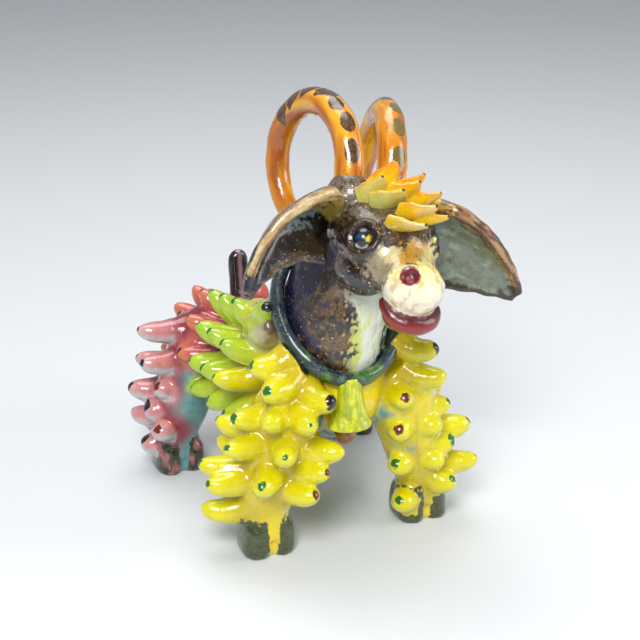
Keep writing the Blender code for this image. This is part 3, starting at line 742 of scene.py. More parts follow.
def tuft_radius(share, radius):
    """A claw: broad where it leaves the leg, and rounded at its narrow tip."""
    slow = 1.10 - 0.48 * share**1.25
    if share > 0.74:
        slow *= (1.0 - ((share - 0.74) / 0.27) ** 2.3) ** 0.55
    return radius * slow


def tuft_line(tuft, curl):
    """Points from a tuft's root to its tip: it sags first, and curls up at the end."""
    shares = [1.0 - (1.0 - i / TUFT_STEPS) ** 1.5 for i in range(TUFT_STEPS + 1)]
    run = tuft.tip - tuft.root
    return shares, [tuft.root + run * s + UP * (curl * (s * s - s)) for s in shares]


def add_tuft(clay, tuft, radius, curl):
    """One tuft, its root sunk in what carries it."""
    shares, line = tuft_line(tuft, curl)
    radii = [tuft_radius(share, radius * tuft.girth) for share in shares]
    run = tuft.tip - tuft.root
    clay.tube(line, [(r, 0.94 * r) for r in radii], Vector((-run.y, run.x, 0.0)), TUFT_SIDES)


def add_tail(clay):
    """A short tail that stands up from the rump, doubled back like a hairpin."""
    centre, _, high = barrel_section(0.92)
    root = centre + Vector((TAIL_OFFSET, 0.0, high - 0.010))
    half = 0.24 * TAIL_WIDTH
    line, radii = [], []
    for i in range(TAIL_STEPS + 1):
        turn = 2.0 * i / TAIL_STEPS - 1.0
        share = 1.0 - abs(turn) ** 2.6
        back = 0.007 * math.sin(0.5 * math.pi * share)
        spread = half * (1.0 + 0.5 * (1.0 - share)) * math.copysign(min(1.0, 3.0 * abs(turn)), turn)
        line.append(root + Vector((spread, back, (TAIL_HEIGHT + 0.008) * share)))
        radii.append((0.0034, 0.0034))
    clay.tube(line, radii, Vector((0.0, 1.0, 0.0)), TAIL_SIDES)


# Head

# share of the length from the nape to the muzzle, drop as a share of MUZZLE_DROP, shares of the
# skull's half width and half depth, shares of the muzzle's half width and half depth
HEAD_TABLE = (
    (0.00, 0.19, 0.26, 0.27, 0.00, 0.00),
    (0.06, 0.05, 0.60, 0.70, 0.00, 0.00),
    (0.19, -0.05, 0.86, 0.93, 0.00, 0.00),
    (0.33, 0.00, 0.98, 1.00, 0.00, 0.00),
    (0.48, 0.12, 1.00, 0.98, 0.00, 0.00),
    (0.59, 0.27, 0.95, 0.91, 0.00, 0.00),
    (0.68, 0.52, 0.40, 0.40, 0.55, 0.57),
    (0.75, 0.83, 0.00, 0.00, 1.00, 1.02),
    (0.83, 0.95, 0.00, 0.00, 1.01, 1.00),
    (0.91, 0.97, 0.00, 0.00, 0.97, 0.94),
    (0.97, 1.00, 0.00, 0.00, 0.70, 0.63),
    (1.00, 1.00, 0.00, 0.00, 0.30, 0.20),
)


def head_section(share):
    """Middle, half width and half height of the upright head, from the nape to the muzzle."""
    drop, skull_wide, skull_deep, muzzle_wide, muzzle_deep = look_up(HEAD_TABLE, share)
    wide = 0.5 * (skull_wide * SKULL_WIDTH + muzzle_wide * MUZZLE_WIDTH)
    deep = 0.5 * (skull_deep * SKULL_DEPTH + muzzle_deep * MUZZLE_DEPTH)
    x = MUZZLE_ASIDE * min(1.0, max(0.0, drop))
    y = blend(SKULL_BACK, -HEAD_REACH, share)
    return Vector((x, y, HEAD_HEIGHT - MUZZLE_DROP * drop)), wide, deep


def head_point(side, share, rise):
    """A point of the upright head's skin: the rise is an angle up from the level of its middle."""
    centre, wide, deep = head_section(share)
    return centre + Vector((side * wide * math.cos(rise), 0.0, deep * math.sin(rise)))


def add_skull(clay):
    """The skull and muzzle in one form."""
    rings = []
    for i in range(HEAD_RINGS + 1):
        share = 0.5 - 0.5 * math.cos(math.pi * i / HEAD_RINGS)
        centre, wide, deep = head_section(share)
        ring = ellipse(centre, SIDEWAYS * wide, UP * deep, HEAD_SIDES)
        rings.append([lean(point) for point in ring])
    return clay.rings(rings)


def add_cheek(clay, side):
    """A cheek, mostly sunk in the skull."""
    centre = head_point(side, 0.50, 0.0) - Vector((side * 0.46 * CHEEK_WIDTH, 0.0, 0.0))
    centre.z -= 0.55 * (SKULL_DEPTH - CHEEK_DEPTH) + 0.002
    size = 0.5 * Vector((CHEEK_WIDTH, 1.6 * CHEEK_WIDTH, CHEEK_DEPTH))
    return clay.ball(centre, size, lean)


def add_crown(clay, side):
    """A mound of clay round the root of a horn."""
    middle = horn_point(side, 0.015) + Vector((0.0, -0.0030, 0.0010))
    return clay.ball(middle, CROWN_SIZE, lean)


def add_upper_lip(clay):
    """Fills the muzzle out between its tip and the corners of the mouth."""
    return clay.ball(UPPER_LIP_MIDDLE, UPPER_LIP_SIZE, lean)


def lip_middle():
    """The middle of the lower lip on the upright head."""
    centre, _, deep = head_section(0.82)
    return centre - Vector((-0.001, 0.0, deep + 0.10 * LIP_DEPTH))


def add_lip(clay):
    """The lower lip, a flat egg under the muzzle with a roll that smiles round its front."""
    size = 0.5 * Vector((0.86 * LIP_WIDTH, 0.86 * LIP_REACH, 0.86 * LIP_DEPTH))
    egg = clay.ball(lip_middle(), size, lean)
    line, radii = [], []
    for i in range(LIP_STEPS + 1):
        turn = math.radians(blend(-12.0, 192.0, i / LIP_STEPS))
        across = LIP_ROLL_WIDTH * math.cos(turn)
        ahead = -LIP_ROLL_REACH * math.sin(turn)
        rise = LIP_ROLL_RISE - LIP_ROLL_DIP * math.sin(turn)
        line.append(lip_middle() + Vector((across, ahead, rise)))
        radius = 0.0017 + 0.0030 * math.sin(math.pi * i / LIP_STEPS) ** 0.8
        radii.append((radius, radius))
    return np.concatenate([egg, clay.tube(line, radii, UP, LIP_SIDES, lean)])


EYE_INSETS = {RIGHT: 0.0030, LEFT: 0.0055}  # how deep each eye's middle sits
# Lights painted on an eye: the way each lies from the middle of the eye, with +X outwards, its
# colour, and where it begins and ends as a cosine
EYE_LIGHTS = (
    ((0.70, -0.66, 0.20), srgb(28, 66, 92), 0.80, 0.93),
    ((0.55, -0.60, -0.55), srgb(222, 230, 220), 0.80, 0.87),
    ((0.66, -0.66, -0.10), srgb(10, 12, 24), 0.88, 0.93),
    ((0.06, -0.95, 0.28), srgb(232, 206, 40), 0.950, 0.972),
)


def eye_middle(side):
    """The middle of an eyeball."""
    inset = Vector((side * EYE_INSETS[side], 0.0, 0.0))
    return lean(head_point(side, 0.585, math.radians(20.0)) - inset)


NOSTRIL_PLACES = {RIGHT: (0.935, 52.0), LEFT: (0.87, 36.0)}  # share of the head, degrees up


def nostril_middle(side):
    """The middle of a nostril, on the muzzle's skin."""
    share, rise = NOSTRIL_PLACES[side]
    return lean(head_point(side, share, math.radians(rise)))


# Ears

EAR_PROFILE = (
    (0.00, 0.44),
    (0.12, 0.80),
    (0.27, 1.00),
    (0.46, 0.93),
    (0.63, 0.73),
    (0.79, 0.48),
    (0.92, 0.24),
    (1.00, 0.08),
)
# Each ear: degrees up the skull, how far inside its skin the root starts, direction to the tip,
# direction of the hollow, length, width, cup and bow. The right ear is folded together, and the
# left one lies open.
EAR_POSES = {
    RIGHT: (
        (-2.0, -0.0020, (-0.78, -0.47, -0.38), (0.42, -0.89, 0.06)),
        (RIGHT_EAR_LENGTH, RIGHT_EAR_WIDTH, RIGHT_EAR_CUP, RIGHT_EAR_BOW),
    ),
    LEFT: (
        (14.0, 0.0040, (0.79, -0.42, -0.42), (-0.60, -0.75, -0.29)),
        (LEFT_EAR_LENGTH, LEFT_EAR_WIDTH, LEFT_EAR_CUP, LEFT_EAR_BOW),
    ),
}
UPPER_RIM = (0.0040, 0.0024)  # radius of the roll at the root and at the tip
LOWER_RIM = (0.0026, 0.0019)


class Leaf:
    """A cupped leaf: rings of places across it, and the way that its hollow looks."""

    def __init__(self, line, widths, facing, cup, arc):
        """Bends a row of places across each point of the line."""
        self.rows = []
        self.normals = []
        last = len(line) - 1
        broad = max(widths)
        for i, middle in enumerate(line):
            run = (line[min(i + 1, last)] - line[max(i - 1, 0)]).normalized()
            face = (facing - run * facing.dot(run)).normalized()
            across = run.cross(face)
            share = widths[i] / broad
            row, normals = [], []
            for j in range(arc):
                place = 2.0 * j / (arc - 1) - 1.0
                row.append(middle + across * (widths[i] * place) + face * (cup * (share * place) ** 2))
                normals.append((face - across * (2.0 * cup * share * place / broad)).normalized())
            self.rows.append(row)
            self.normals.append(normals)

    def add(self, clay, wall, rims=()):
        """Adds the leaf with its wall, and with a roll of clay along each edge that has a rim."""
        rings = []
        for row, normals in zip(self.rows, self.normals):
            inner = [lean(point + out * (0.5 * wall)) for point, out in zip(row, normals)]
            outer = [lean(point - out * (0.5 * wall)) for point, out in zip(row, normals)]
            rings.append(inner + outer[::-1])
        places = [clay.rings(rings)]
        for edge, root, tip in rims:
            line = [lean(row[edge]) for row in self.rows]
            radii = [(blend(root, tip, i / (len(line) - 1)),) * 2 for i in range(len(line))]
            places.append(clay.tube(line, radii, Vector((0.3, 0.5, 0.8)), RIM_SIDES))
        return np.concatenate(places)


def ear_leaf(side):
    """An ear, bowed from its root to its tip."""
    (rise, inset, run, facing), (length, width, cup, bow) = EAR_POSES[side]
    root = head_point(side, 0.25, math.radians(rise)) - Vector((side * inset, 0.0, 0.0))
    run = Vector(run).normalized()
    lift = Vector((side * 0.53, 0.0, 0.85))
    line, widths = [], []
    for i in range(EAR_STEPS + 1):
        share = i / EAR_STEPS
        arch = bow * math.sin(math.pi * share**0.85)
        line.append(root + run * (length * share) + lift * arch)
        widths.append(0.5 * width * look_up(EAR_PROFILE, share)[0])
    return Leaf(line, widths, Vector(facing), cup, EAR_ARC)


# Horns


def horn_point(side, share):
    """The middle of a horn: a circle seen from the side, which moves outwards as it turns."""
    curl = LEFT_HORN_CURL if side == LEFT else RIGHT_HORN_CURL
    splay = LEFT_HORN_SPLAY if side == LEFT else RIGHT_HORN_SPLAY
    centre = Vector((0.0, HORN_SETBACK + curl, HEAD_HEIGHT + 0.46 * SKULL_DEPTH))
    turn = HORN_START - HORN_SWEEP * share
    out = HORN_SPREAD + splay * math.sin(math.pi * share**1.3) ** 2
    offset = Vector((0.0, math.cos(turn), math.sin(turn))) * curl
    return centre + offset + Vector((side * out + HORN_ASIDE, 0.0, 0.0))


HORN_GIRTH = 46.0  # millimetres round a horn
TOOTH_BASE = 4.6  # how far round the horn a tooth keeps its full width, in millimetres each way
TOOTH_DEPTH = 6.4  # millimetres from there to its point
TOOTH_WIDTH = 5.0  # half its width at the crest, in millimetres
# Painted ovals: share of the horn's length, turn round it, half length and half width in mm
HORN_OVALS = {
    RIGHT: ((0.132, 0.705, 5.2, 4.0), (0.203, 0.720, 5.0, 3.8), (0.264, 0.695, 4.6, 3.9)),
    LEFT: (
        (0.128, 0.745, 4.6, 3.9),
        (0.208, 0.765, 4.8, 3.6),
        (0.280, 0.775, 4.2, 3.4),
        (0.345, 0.740, 3.4, 3.4),
    ),
}
# Painted teeth: share of the horn's length, and the turn round it where each is widest
HORN_TEETH = {RIGHT: ((0.315, 0.80), (0.375, 0.74), (0.435, 0.65), (0.495, 0.56)), LEFT: ((0.39, 0.72),)}


# Forelock

# Petals: share along the head, sideways place as a share of the skull's width, the sideways,
# forward and upward parts of the direction, and the share of the petals' length
PETALS = (
    (0.36, -0.05, 0.14, 0.20, 0.98, 0.95),
    (0.38, 0.13, 0.50, 0.35, 0.78, 0.90),
    (0.41, -0.22, -0.06, 0.50, 0.72, 0.95),
    (0.46, -0.02, 0.35, 0.65, 0.72, 1.00),
    (0.49, -0.17, 0.08, 0.75, 0.56, 1.05),
    (0.48, 0.17, 0.60, 0.58, 0.56, 0.90),
    (0.58, 0.01, 0.40, 0.80, 0.44, 1.05),
    (0.63, -0.12, 0.24, 0.92, 0.26, 1.15),
    (0.60, 0.16, 0.60, 0.72, 0.32, 0.85),
)
PETAL_PROFILE = ((0.0, 0.66), (0.30, 1.0), (0.58, 0.84), (0.82, 0.44), (0.94, 0.20), (1.0, 0.05))
PETAL_FACING = Vector((0.15, 0.50, 0.90))  # the way that the hollows look


def petal_leaf(place, length, breadth):
    """A petal that stands on the skull and bends up towards its tip."""
    along, aside, side, forward, up, size = place
    centre, wide, deep = head_section(along)
    x = aside * SKULL_WIDTH
    height = deep * math.sqrt(max(0.0, 1.0 - (x / wide) ** 2))
    root = centre + Vector((x, 0.0, height - PETAL_ROOT_DEPTH))
    run = Vector((side, -forward, up)).normalized()
    line, widths = [], []
    for i in range(PETAL_STEPS + 1):
        share = i / PETAL_STEPS
        rise = UP * (0.16 * length * share * share)
        line.append(root + run * (length * size * share) + rise)
        widths.append(0.5 * breadth * size * look_up(PETAL_PROFILE, share)[0])
    return Leaf(line, widths, PETAL_FACING, PETAL_CUP, PETAL_ARC)


# Shader maths


class Wire:
    """A socket of a shader. Its arithmetic on values adds Math nodes."""

    def __init__(self, sheet, socket):
        """Holds an output socket and the sheet that it is on."""
        self.sheet = sheet
        self.socket = socket

    def maths(self, operation, *values):
        """A Math node on numbers and wires."""
        return self.sheet.add("ShaderNodeMath", {"operation": operation}, dict(enumerate(values)))

    def __add__(self, other):
        return self.maths("ADD", self, other)

    def __radd__(self, other):
        return self.maths("ADD", other, self)

    def __sub__(self, other):
        return self.maths("SUBTRACT", self, other)

    def __rsub__(self, other):
        return self.maths("SUBTRACT", other, self)

    def __mul__(self, other):
        return self.maths("MULTIPLY", self, other)

    def __rmul__(self, other):
        return self.maths("MULTIPLY", other, self)

    def __abs__(self):
        return self.maths("ABSOLUTE", self)

    def ramp(self, low, high):
        """0 below low and 1 above high, eased between; it falls where low is the larger."""
        settings = {"interpolation_type": "SMOOTHSTEP"}
        if low > high:
            return 1.0 - self.sheet.add("ShaderNodeMapRange", settings, {0: self, 1: high, 2: low})
        return self.sheet.add("ShaderNodeMapRange", settings, {0: self, 1: low, 2: high})


COAT_WEIGHT = 0.7
COAT_ROUGHNESS = 0.03
GLAZE_IOR = 1.5


class Sheet:
    """The node tree of one glaze."""

    def __init__(self, name):
        """Starts a material with its Principled shader."""
        self.material = bpy.data.materials.new(name)
        self.material.use_nodes = True
        self.tree = self.material.node_tree
        self.shader = self.tree.nodes["Principled BSDF"]

    def add(self, kind, settings, sockets, out=0):
        """Adds a node: its type, its settings, and the values or wires of its sockets."""
        node = self.tree.nodes.new(kind)
        for name, value in settings.items():
            setattr(node, name, value)
        for name, value in sockets.items():
            self.feed(node.inputs[name], value)
        return Wire(self, node.outputs[out])

    def feed(self, socket, value):
        """Links a wire to a socket, or sets the socket's value."""
        if isinstance(value, Wire):
            self.tree.links.new(value.socket, socket)
        elif socket.type == "RGBA" and len(value) == 3:
            socket.default_value = (*value, 1.0)
        else:
            socket.default_value = value

    def value(self, name):
        """A number that is stored on the vertices."""
        return self.add("ShaderNodeAttribute", {"attribute_name": name}, {}, out="Fac")

    def colour(self, name):
        """A colour that is stored on the vertices."""
        return self.add("ShaderNodeAttribute", {"attribute_name": name}, {}, out="Color")

    def place(self):
        """The place on the goat, in millimetres."""
        spot = self.add("ShaderNodeTexCoord", {}, {}, out="Object")
        return self.add("ShaderNodeVectorMath", {"operation": "SCALE"}, {0: spot, "Scale": MM})

    def cloud(self, place, size, detail=3.0, rough=0.55):
        """Soft noise from 0 to 1, whose features are about that many millimetres across."""
        sockets = {"Vector": place, "Scale": 1.0 / size, "Detail": detail, "Roughness": rough}
        return self.add("ShaderNodeTexNoise", {}, sockets, out="Fac")

    def dots(self, place, size):
        """The distance to the nearest of many scattered dots, in shares of their spacing."""
        sockets = {"Vector": place, "Scale": 1.0 / size, "Randomness": 1.0}
        return self.add("ShaderNodeTexVoronoi", {}, sockets, out="Distance")

    def mix(self, factor, first, second, kind="MIX"):
        """One colour laid over another."""
        settings = {"data_type": "RGBA", "blend_type": kind}
        return self.add("ShaderNodeMix", settings, {0: factor, 6: first, 7: second}, out=2)

    def finish(self, colour, rough, bump, deep):
        """A glossy glaze of that colour, with a shallow relief that many metres deep."""
        self.feed(self.shader.inputs["Base Color"], colour)
        self.feed(self.shader.inputs["Roughness"], rough)
        sockets = {"Height": bump, "Strength": 1.0, "Distance": deep}
        self.feed(self.shader.inputs["Normal"], self.add("ShaderNodeBump", {}, sockets))
        self.shader.inputs["Coat Weight"].default_value = COAT_WEIGHT
        self.shader.inputs["Coat Roughness"].default_value = COAT_ROUGHNESS
        self.shader.inputs["IOR"].default_value = GLAZE_IOR
        return self.material


# Glazes

# Each glaze of the tufts: its colours at the root, in the middle and at the tip
GLAZES = {
    "lemon": (srgb(198, 176, 4), srgb(216, 204, 4), srgb(214, 210, 18)),
    "lime": (srgb(206, 196, 34), srgb(176, 198, 36), srgb(150, 186, 44)),
    "salmon": (srgb(116, 16, 34), srgb(184, 76, 72), srgb(206, 120, 82)),
    "shell": (srgb(126, 24, 44), srgb(198, 124, 126), srgb(204, 166, 166)),
    "cream": (srgb(150, 150, 90), srgb(196, 190, 150), srgb(150, 132, 106)),
}
MARKS = {
    BARE: srgb(232, 214, 14),
    GREEN: srgb(38, 104, 30),
    BROWN: srgb(104, 34, 14),
    BLACK: srgb(16, 14, 16),
    TAN: srgb(120, 100, 78),
}
# Painted reflected light on the underside of a tuft: a pale colour for each glaze, laid where the tuft
# faces downwards
UNDERSIDE_LIGHTS = {
    "lemon": srgb(186, 196, 96),
    "lime": srgb(198, 214, 110),
    "salmon": srgb(196, 128, 76),
    "shell": srgb(178, 196, 202),
    "cream": srgb(150, 150, 110),
}
# Radius of each mark, in metres
MARK_SIZES = {BARE: 0.0001, GREEN: 0.0034, BROWN: 0.0032, BLACK: 0.0046, TAN: 0.0050}


def paint_coat(piece, tufts, radius, curl):
    """Stores the coat's colours and the places of its marks."""
    places, normals = places_of(piece), normals_of(piece)
    lines, girths, shares = [], [], None
    for tuft in tufts:
        shares, line = tuft_line(tuft, curl)
        lines.append([tuple(p) for p in line])
        girths.append([max(0.35 * radius, tuft_radius(s, radius * tuft.girth)) for s in shares])
    lines, girths, shares = np.array(lines), np.array(girths), np.array(shares)
    stops = np.array([GLAZES[tuft.glaze] for tuft in tufts])
    marks = np.array([MARKS[tuft.mark] for tuft in tufts])
    draw = np.random.default_rng(11)
    sizes = np.array([MARK_SIZES[tuft.mark] * draw.uniform(0.75, 1.2) for tuft in tufts])
    tips = np.array([tuple(t.tip + UP * draw.uniform(0.0005, 0.0030)) for t in tufts])
    colours, marked, painted_underside_light = (np.zeros_like(places) for _ in range(3))
    underside_light_colours = np.array([UNDERSIDE_LIGHTS[tuft.glaze] for tuft in tufts])
    # How far up round each tuft the painted underside light reaches
    lift = np.array([0.45 if tuft.glaze == "shell" else 0.0 for tuft in tufts])
    fold, dab, under = (np.zeros(len(places)) for _ in range(3))
    skin = skin_colours(places, normals)
    toes = toe_places(places)
    for start in range(0, len(places), 4000):
        part = slice(start, start + 4000)
        spot = places[part]
        gap = np.linalg.norm(spot[:, None, None, :] - lines[None], axis=3) / girths[None]
        step = gap.argmin(axis=2)
        near = np.take_along_axis(gap, step[:, :, None], axis=2)[:, :, 0]
        order = np.argsort(near, axis=1)[:, :2]
        rows = np.arange(len(spot))
        first, second = order[:, 0], order[:, 1]
        nearest, other = near[rows, first], near[rows, second]
        share = shares[step[rows, first]]
        share_two = shares[step[rows, second]]
        tint = stop_colour(stops[first], share)
        tint_two = stop_colour(stops[second], share_two)
        evenly = (0.5 * (1.0 - ramp(other - nearest, 0.0, 0.30)))[:, None]
        tint = tint * (1.0 - evenly) + tint_two * evenly
        bare = ramp(nearest, 1.10, 1.75)[:, None]
        colours[part] = tint * (1.0 - bare) + skin[part] * bare
        fold[part] = ramp(other - nearest, 0.0, 0.55)
        reach = (spot - tips[first]) * np.array((1.25, 1.25, 0.80))
        dab[part] = np.minimum(UNMARKED, np.linalg.norm(reach, axis=1) / sizes[first])
        marked[part] = marks[first]
        painted_underside_light[part] = underside_light_colours[first]
        toes[part, 2] += 3.0 * ramp(share, 0.30, 0.45) * (1.0 - bare[:, 0]) * ramp(nearest, 1.25, 1.10)
        # Painted reflected light: laid on the downward faces of each tuft, away from its root
        down = np.clip(lift[first] - normals[part, 2], 0.0, 1.0)
        under[part] = down * ramp(share, 0.2, 0.5) * (1.0 - bare[:, 0])
    tail = tail_cover(places)[:, None]
    groove = ramp(abs(places[:, 0] - TAIL_OFFSET), 0.0016, 0.0006)[:, None]
    ink = np.array(srgb(20, 18, 26)) * (1.0 - groove) + np.array(srgb(132, 104, 116)) * groove
    colours = colours * (1.0 - tail) + ink * tail
    fold = np.maximum(fold, tail[:, 0])
    dab = np.maximum(dab, UNMARKED * tail[:, 0])
    under = under * (1.0 - tail[:, 0])
    keep_colour(piece, "paint", colours)
    keep_colour(piece, "mark", marked)
    # The painted underside light, and where it is laid
    keep_colour(piece, "shade", painted_underside_light)
    keep_value(piece, "under", under)
    keep_value(piece, "fold", fold)
    keep_value(piece, "dab", dab)
    keep_vector(piece, "toe", toes)
    paint_hooves(piece, places)


def paint_hooves(piece, places):
    """Stores the hooves' own colours: olive in front, and black touched with pink behind."""
    hoof = Paint(places * MM, srgb(50, 60, 22))
    rear = ramp(places[:, 1], 0.050, 0.060)
    hoof.lay(rear, srgb(22, 18, 22))
    hoof.lay(rear * ramp(hoof.cloud(6.0, 9.0), 0.18, 0.34) * 0.7, srgb(180, 104, 112))
    keep_colour(piece, "hoof", hoof.colours)


def stop_colour(stops, share):
    """Colours from root, middle and tip stops at each share along the tufts."""
    low = ramp(share, 0.25, 0.62)[:, None]
    high = ramp(share, 0.72, 1.0)[:, None]
    mid = stops[:, 0] * (1.0 - low) + stops[:, 1] * low
    return mid * (1.0 - high) + stops[:, 2] * high


def skin_colours(places, normals):
    """Colours of the bare skin between the tufts: flank, back, belly and legs, with painted shade in
    teal-grey under the belly, between the legs and on the legs' inner sides.
    """
    x, y, z = places.T
    colour = np.tile(np.array(srgb(228, 204, 22)), (len(places), 1))
    lime = ramp(y, 0.025, 0.045)[:, None]
    colour = colour * (1.0 - lime) + np.array(srgb(150, 160, 40)) * lime
    rear = ramp(y, 0.070, 0.088)[:, None]
    colour = colour * (1.0 - rear) + np.array(srgb(190, 110, 96)) * rear
    low = (ramp(y, 0.070, 0.085) * ramp(z, 0.062, 0.045))[:, None]
    colour = colour * (1.0 - low) + np.array(srgb(140, 168, 172)) * low
    # Painted shade: teal-grey on the legs' inner faces, on the belly's downward faces and under the belly
    # between the legs
    inner = ramp(-normals[:, 0] * np.sign(x), 0.15, 0.55) * ramp(z, 0.020, 0.034)
    belly = ramp(-normals[:, 2], 0.25, 0.7) * ramp(abs(x), 0.034, 0.024)
    shade = np.maximum(inner * ramp(abs(y), 0.004, 0.010), belly)[:, None]
    between = ramp(y, 0.004, 0.012) * ramp(y, 0.106, 0.098) * ramp(z, 0.075, 0.060)
    shade = np.maximum(shade, between[:, None])
    colour = colour * (1.0 - shade) + np.array(srgb(92, 142, 148)) * shade
    back = ramp(normals[:, 2], 0.35, 0.75) * ramp(abs(x), 0.024, 0.014) * ramp(y, 0.018, 0.030)
    back = back[:, None]
    return colour * (1.0 - back) + np.array(srgb(44, 30, 62)) * back


def tail_middle(height):
    """The middle of the tail at a height above its root."""
    centre, _, high = barrel_section(0.92)
    return centre + Vector((TAIL_OFFSET, 0.006, high - 0.010 + height))


def tail_cover(places):
    """1 on the tail, and 0 away from it."""
    root = np.array(tail_middle(0.0))
    gap = np.hypot(places[:, 0] - root[0], places[:, 1] - root[1])
    return ramp(gap, 0.0085, 0.0070) * ramp(places[:, 2] - root[2], 0.010, 0.013)


def toe_places(places):
    """Each vertex's place on its own hoof: sideways, forwards and up, in shares of the hoof."""
    x, y, z = places.T
    hind = y > 0.5 * LEG_SPAN
    middle = np.where(hind, HIND_STANCE, FORE_STANCE) * np.sign(x)
    aside = (x - middle) / (0.5 * HOOF_WIDTH)
    ahead = -(y - np.where(hind, LEG_SPAN, 0.0)) / (0.5 * HOOF_DEPTH)
    return np.stack([aside, ahead, z / HOOF_HEIGHT], axis=1)


def coat_glaze():
    """Painted tufts under a thick clear glaze, darker in the creases between tufts, partly where the glaze
    pools and partly as painted shade.
    """
    sheet = Sheet("coat_glaze")
    place = sheet.place()
    paint = sheet.colour("paint")
    fold, dab, under = sheet.value("fold"), sheet.value("dab"), sheet.value("under")
    patch = sheet.cloud(place, 9.0)
    streak = sheet.cloud(place, 2.6, 4.0)
    paint = sheet.mix((patch - 0.45).ramp(0.0, 0.25) * 0.30, paint, srgb(246, 240, 190), "SOFT_LIGHT")
    # Painted reflected light: the pale underside colour laid over the tufts' downward faces
    paint = sheet.mix((under + (streak - 0.5) * 0.8).ramp(0.25, 0.85) * 0.8, paint, sheet.colour("shade"))
    # Darker colour for the creases between tufts: pooled glaze there, and painted shade where the tufts
    # crowd together
    pooled_and_shaded = sheet.mix(1.0, paint, srgb(196, 180, 100), "MULTIPLY")
    crease_pool_and_shade = (fold + (streak - 0.5) * 0.25).ramp(0.16, 0.0) * 0.35 + streak.ramp(0.62, 0.78) * 0.20
    paint = sheet.mix(crease_pool_and_shade.ramp(0.0, 1.0), paint, pooled_and_shaded)
    wobble = dab + (streak - 0.5) * 1.3
    paint = sheet.mix(wobble.ramp(1.02, 0.88), paint, sheet.colour("mark"))
    specks = sheet.dots(place, 8.0).ramp(0.05, 0.03)
    paint = sheet.mix(specks * 0.7, paint, srgb(84, 50, 20))
    paint = hoof_paint(sheet, paint, streak)
    height = sheet.cloud(place, 5.0, 2.0) + sheet.cloud(place, 1.3, 2.0) * 0.12
    return sheet.finish(paint, 0.14 + patch * 0.12, height, 0.0007)


def hoof_paint(sheet, paint, streak):
    """Dark toes with a strip of the leg's glaze run down between them."""
    toe = sheet.add("ShaderNodeAttribute", {"attribute_name": "toe"}, {}, out="Vector")
    outputs = sheet.add("ShaderNodeSeparateXYZ", {}, {0: toe}).socket.node.outputs
    aside, ahead, up = (Wire(sheet, output) for output in outputs)
    low = (up + (streak - 0.5) * 0.7).ramp(1.16, 1.06)
    strip = abs(aside) - 0.10 - up * 0.10 + (streak - 0.5) * 0.25
    front = strip.ramp(0.0, 0.06)
    back = ahead.ramp(0.3, 0.1)
    dark = low * front.maths("MAXIMUM", front, back)
    shade = sheet.mix(streak.ramp(0.35, 0.70) * 0.25, sheet.colour("hoof"), srgb(120, 126, 70))
    return sheet.mix(dark, paint, shade)


# The add-on


class GoatSizes(bpy.types.PropertyGroup):
    """Sizes of the goat that can be set before it is made."""

    tuft_radius: FloatProperty(
        name="Tuft radius",
        description="Radius of a tuft at its root",
        default=0.0084,
        min=0.004,
        unit="LENGTH",
    )
    tuft_curl: FloatProperty(
        name="Tuft curl",
        description="How far a tuft sags before it curls up",
        default=0.0150,
        unit="LENGTH",
    )
    horn_root_radius: FloatProperty(
        name="Horn root", description="Radius of a horn at its root", default=0.0078, unit="LENGTH"
    )
    horn_tip_radius: FloatProperty(
        name="Horn tip", description="Radius of a horn at its tip", default=0.0050, unit="LENGTH"
    )
    ear_wall: FloatProperty(
        name="Ear wall", description="Thickness of an ear", default=0.0040, unit="LENGTH"
    )
    petal_length: FloatProperty(
        name="Petal length", description="Length of a forelock petal", default=0.019, unit="LENGTH"
    )
    petal_width: FloatProperty(
        name="Petal width", description="Width of a forelock petal", default=0.018, unit="LENGTH"
    )
    petal_wall: FloatProperty(
        name="Petal wall", description="Thickness of a forelock petal", default=0.0017, unit="LENGTH"
    )
    eye_radius: FloatProperty(
        name="Eye radius", description="Radius of an eyeball", default=0.0056, unit="LENGTH"
    )
    collar_band: FloatProperty(
        name="Collar band", description="Width of the collar's strap", default=0.0105, unit="LENGTH"
    )
    collar_thickness: FloatProperty(
        name="Collar thickness",
        description="Thickness of the collar's strap",
        default=0.0076,
        unit="LENGTH",
    )
    bell_height: FloatProperty(
        name="Bell height", description="Height of the bell", default=0.0225, unit="LENGTH"
    )
    bell_mouth: FloatProperty(
        name="Bell mouth", description="Width of the bell's mouth", default=0.0235, unit="LENGTH"
    )
    clapper_radius: FloatProperty(
        name="Clapper", description="Radius of the bell's clapper", default=0.0056, unit="LENGTH"
    )


class GoatPaints(bpy.types.PropertyGroup):
    """Colours of the goat's glazes."""

    ivory: FloatVectorProperty(
        name="Ivory", description="The muzzle's glaze", subtype="COLOR", default=srgb(236, 228, 200)
    )
    bark: FloatVectorProperty(
        name="Bark", description="The head's dark brown glaze", subtype="COLOR", default=srgb(36, 26, 22)
    )
    amber: FloatVectorProperty(
        name="Amber", description="The horns' glaze", subtype="COLOR", default=srgb(206, 128, 14)
    )
    lip: FloatVectorProperty(
        name="Lip", description="The lip's glaze", subtype="COLOR", default=srgb(136, 12, 12)
    )
    floor: FloatVectorProperty(
        name="Floor",
        description="The pale floor under the goat",
        subtype="COLOR",
        default=(0.72, 0.74, 0.76),
    )


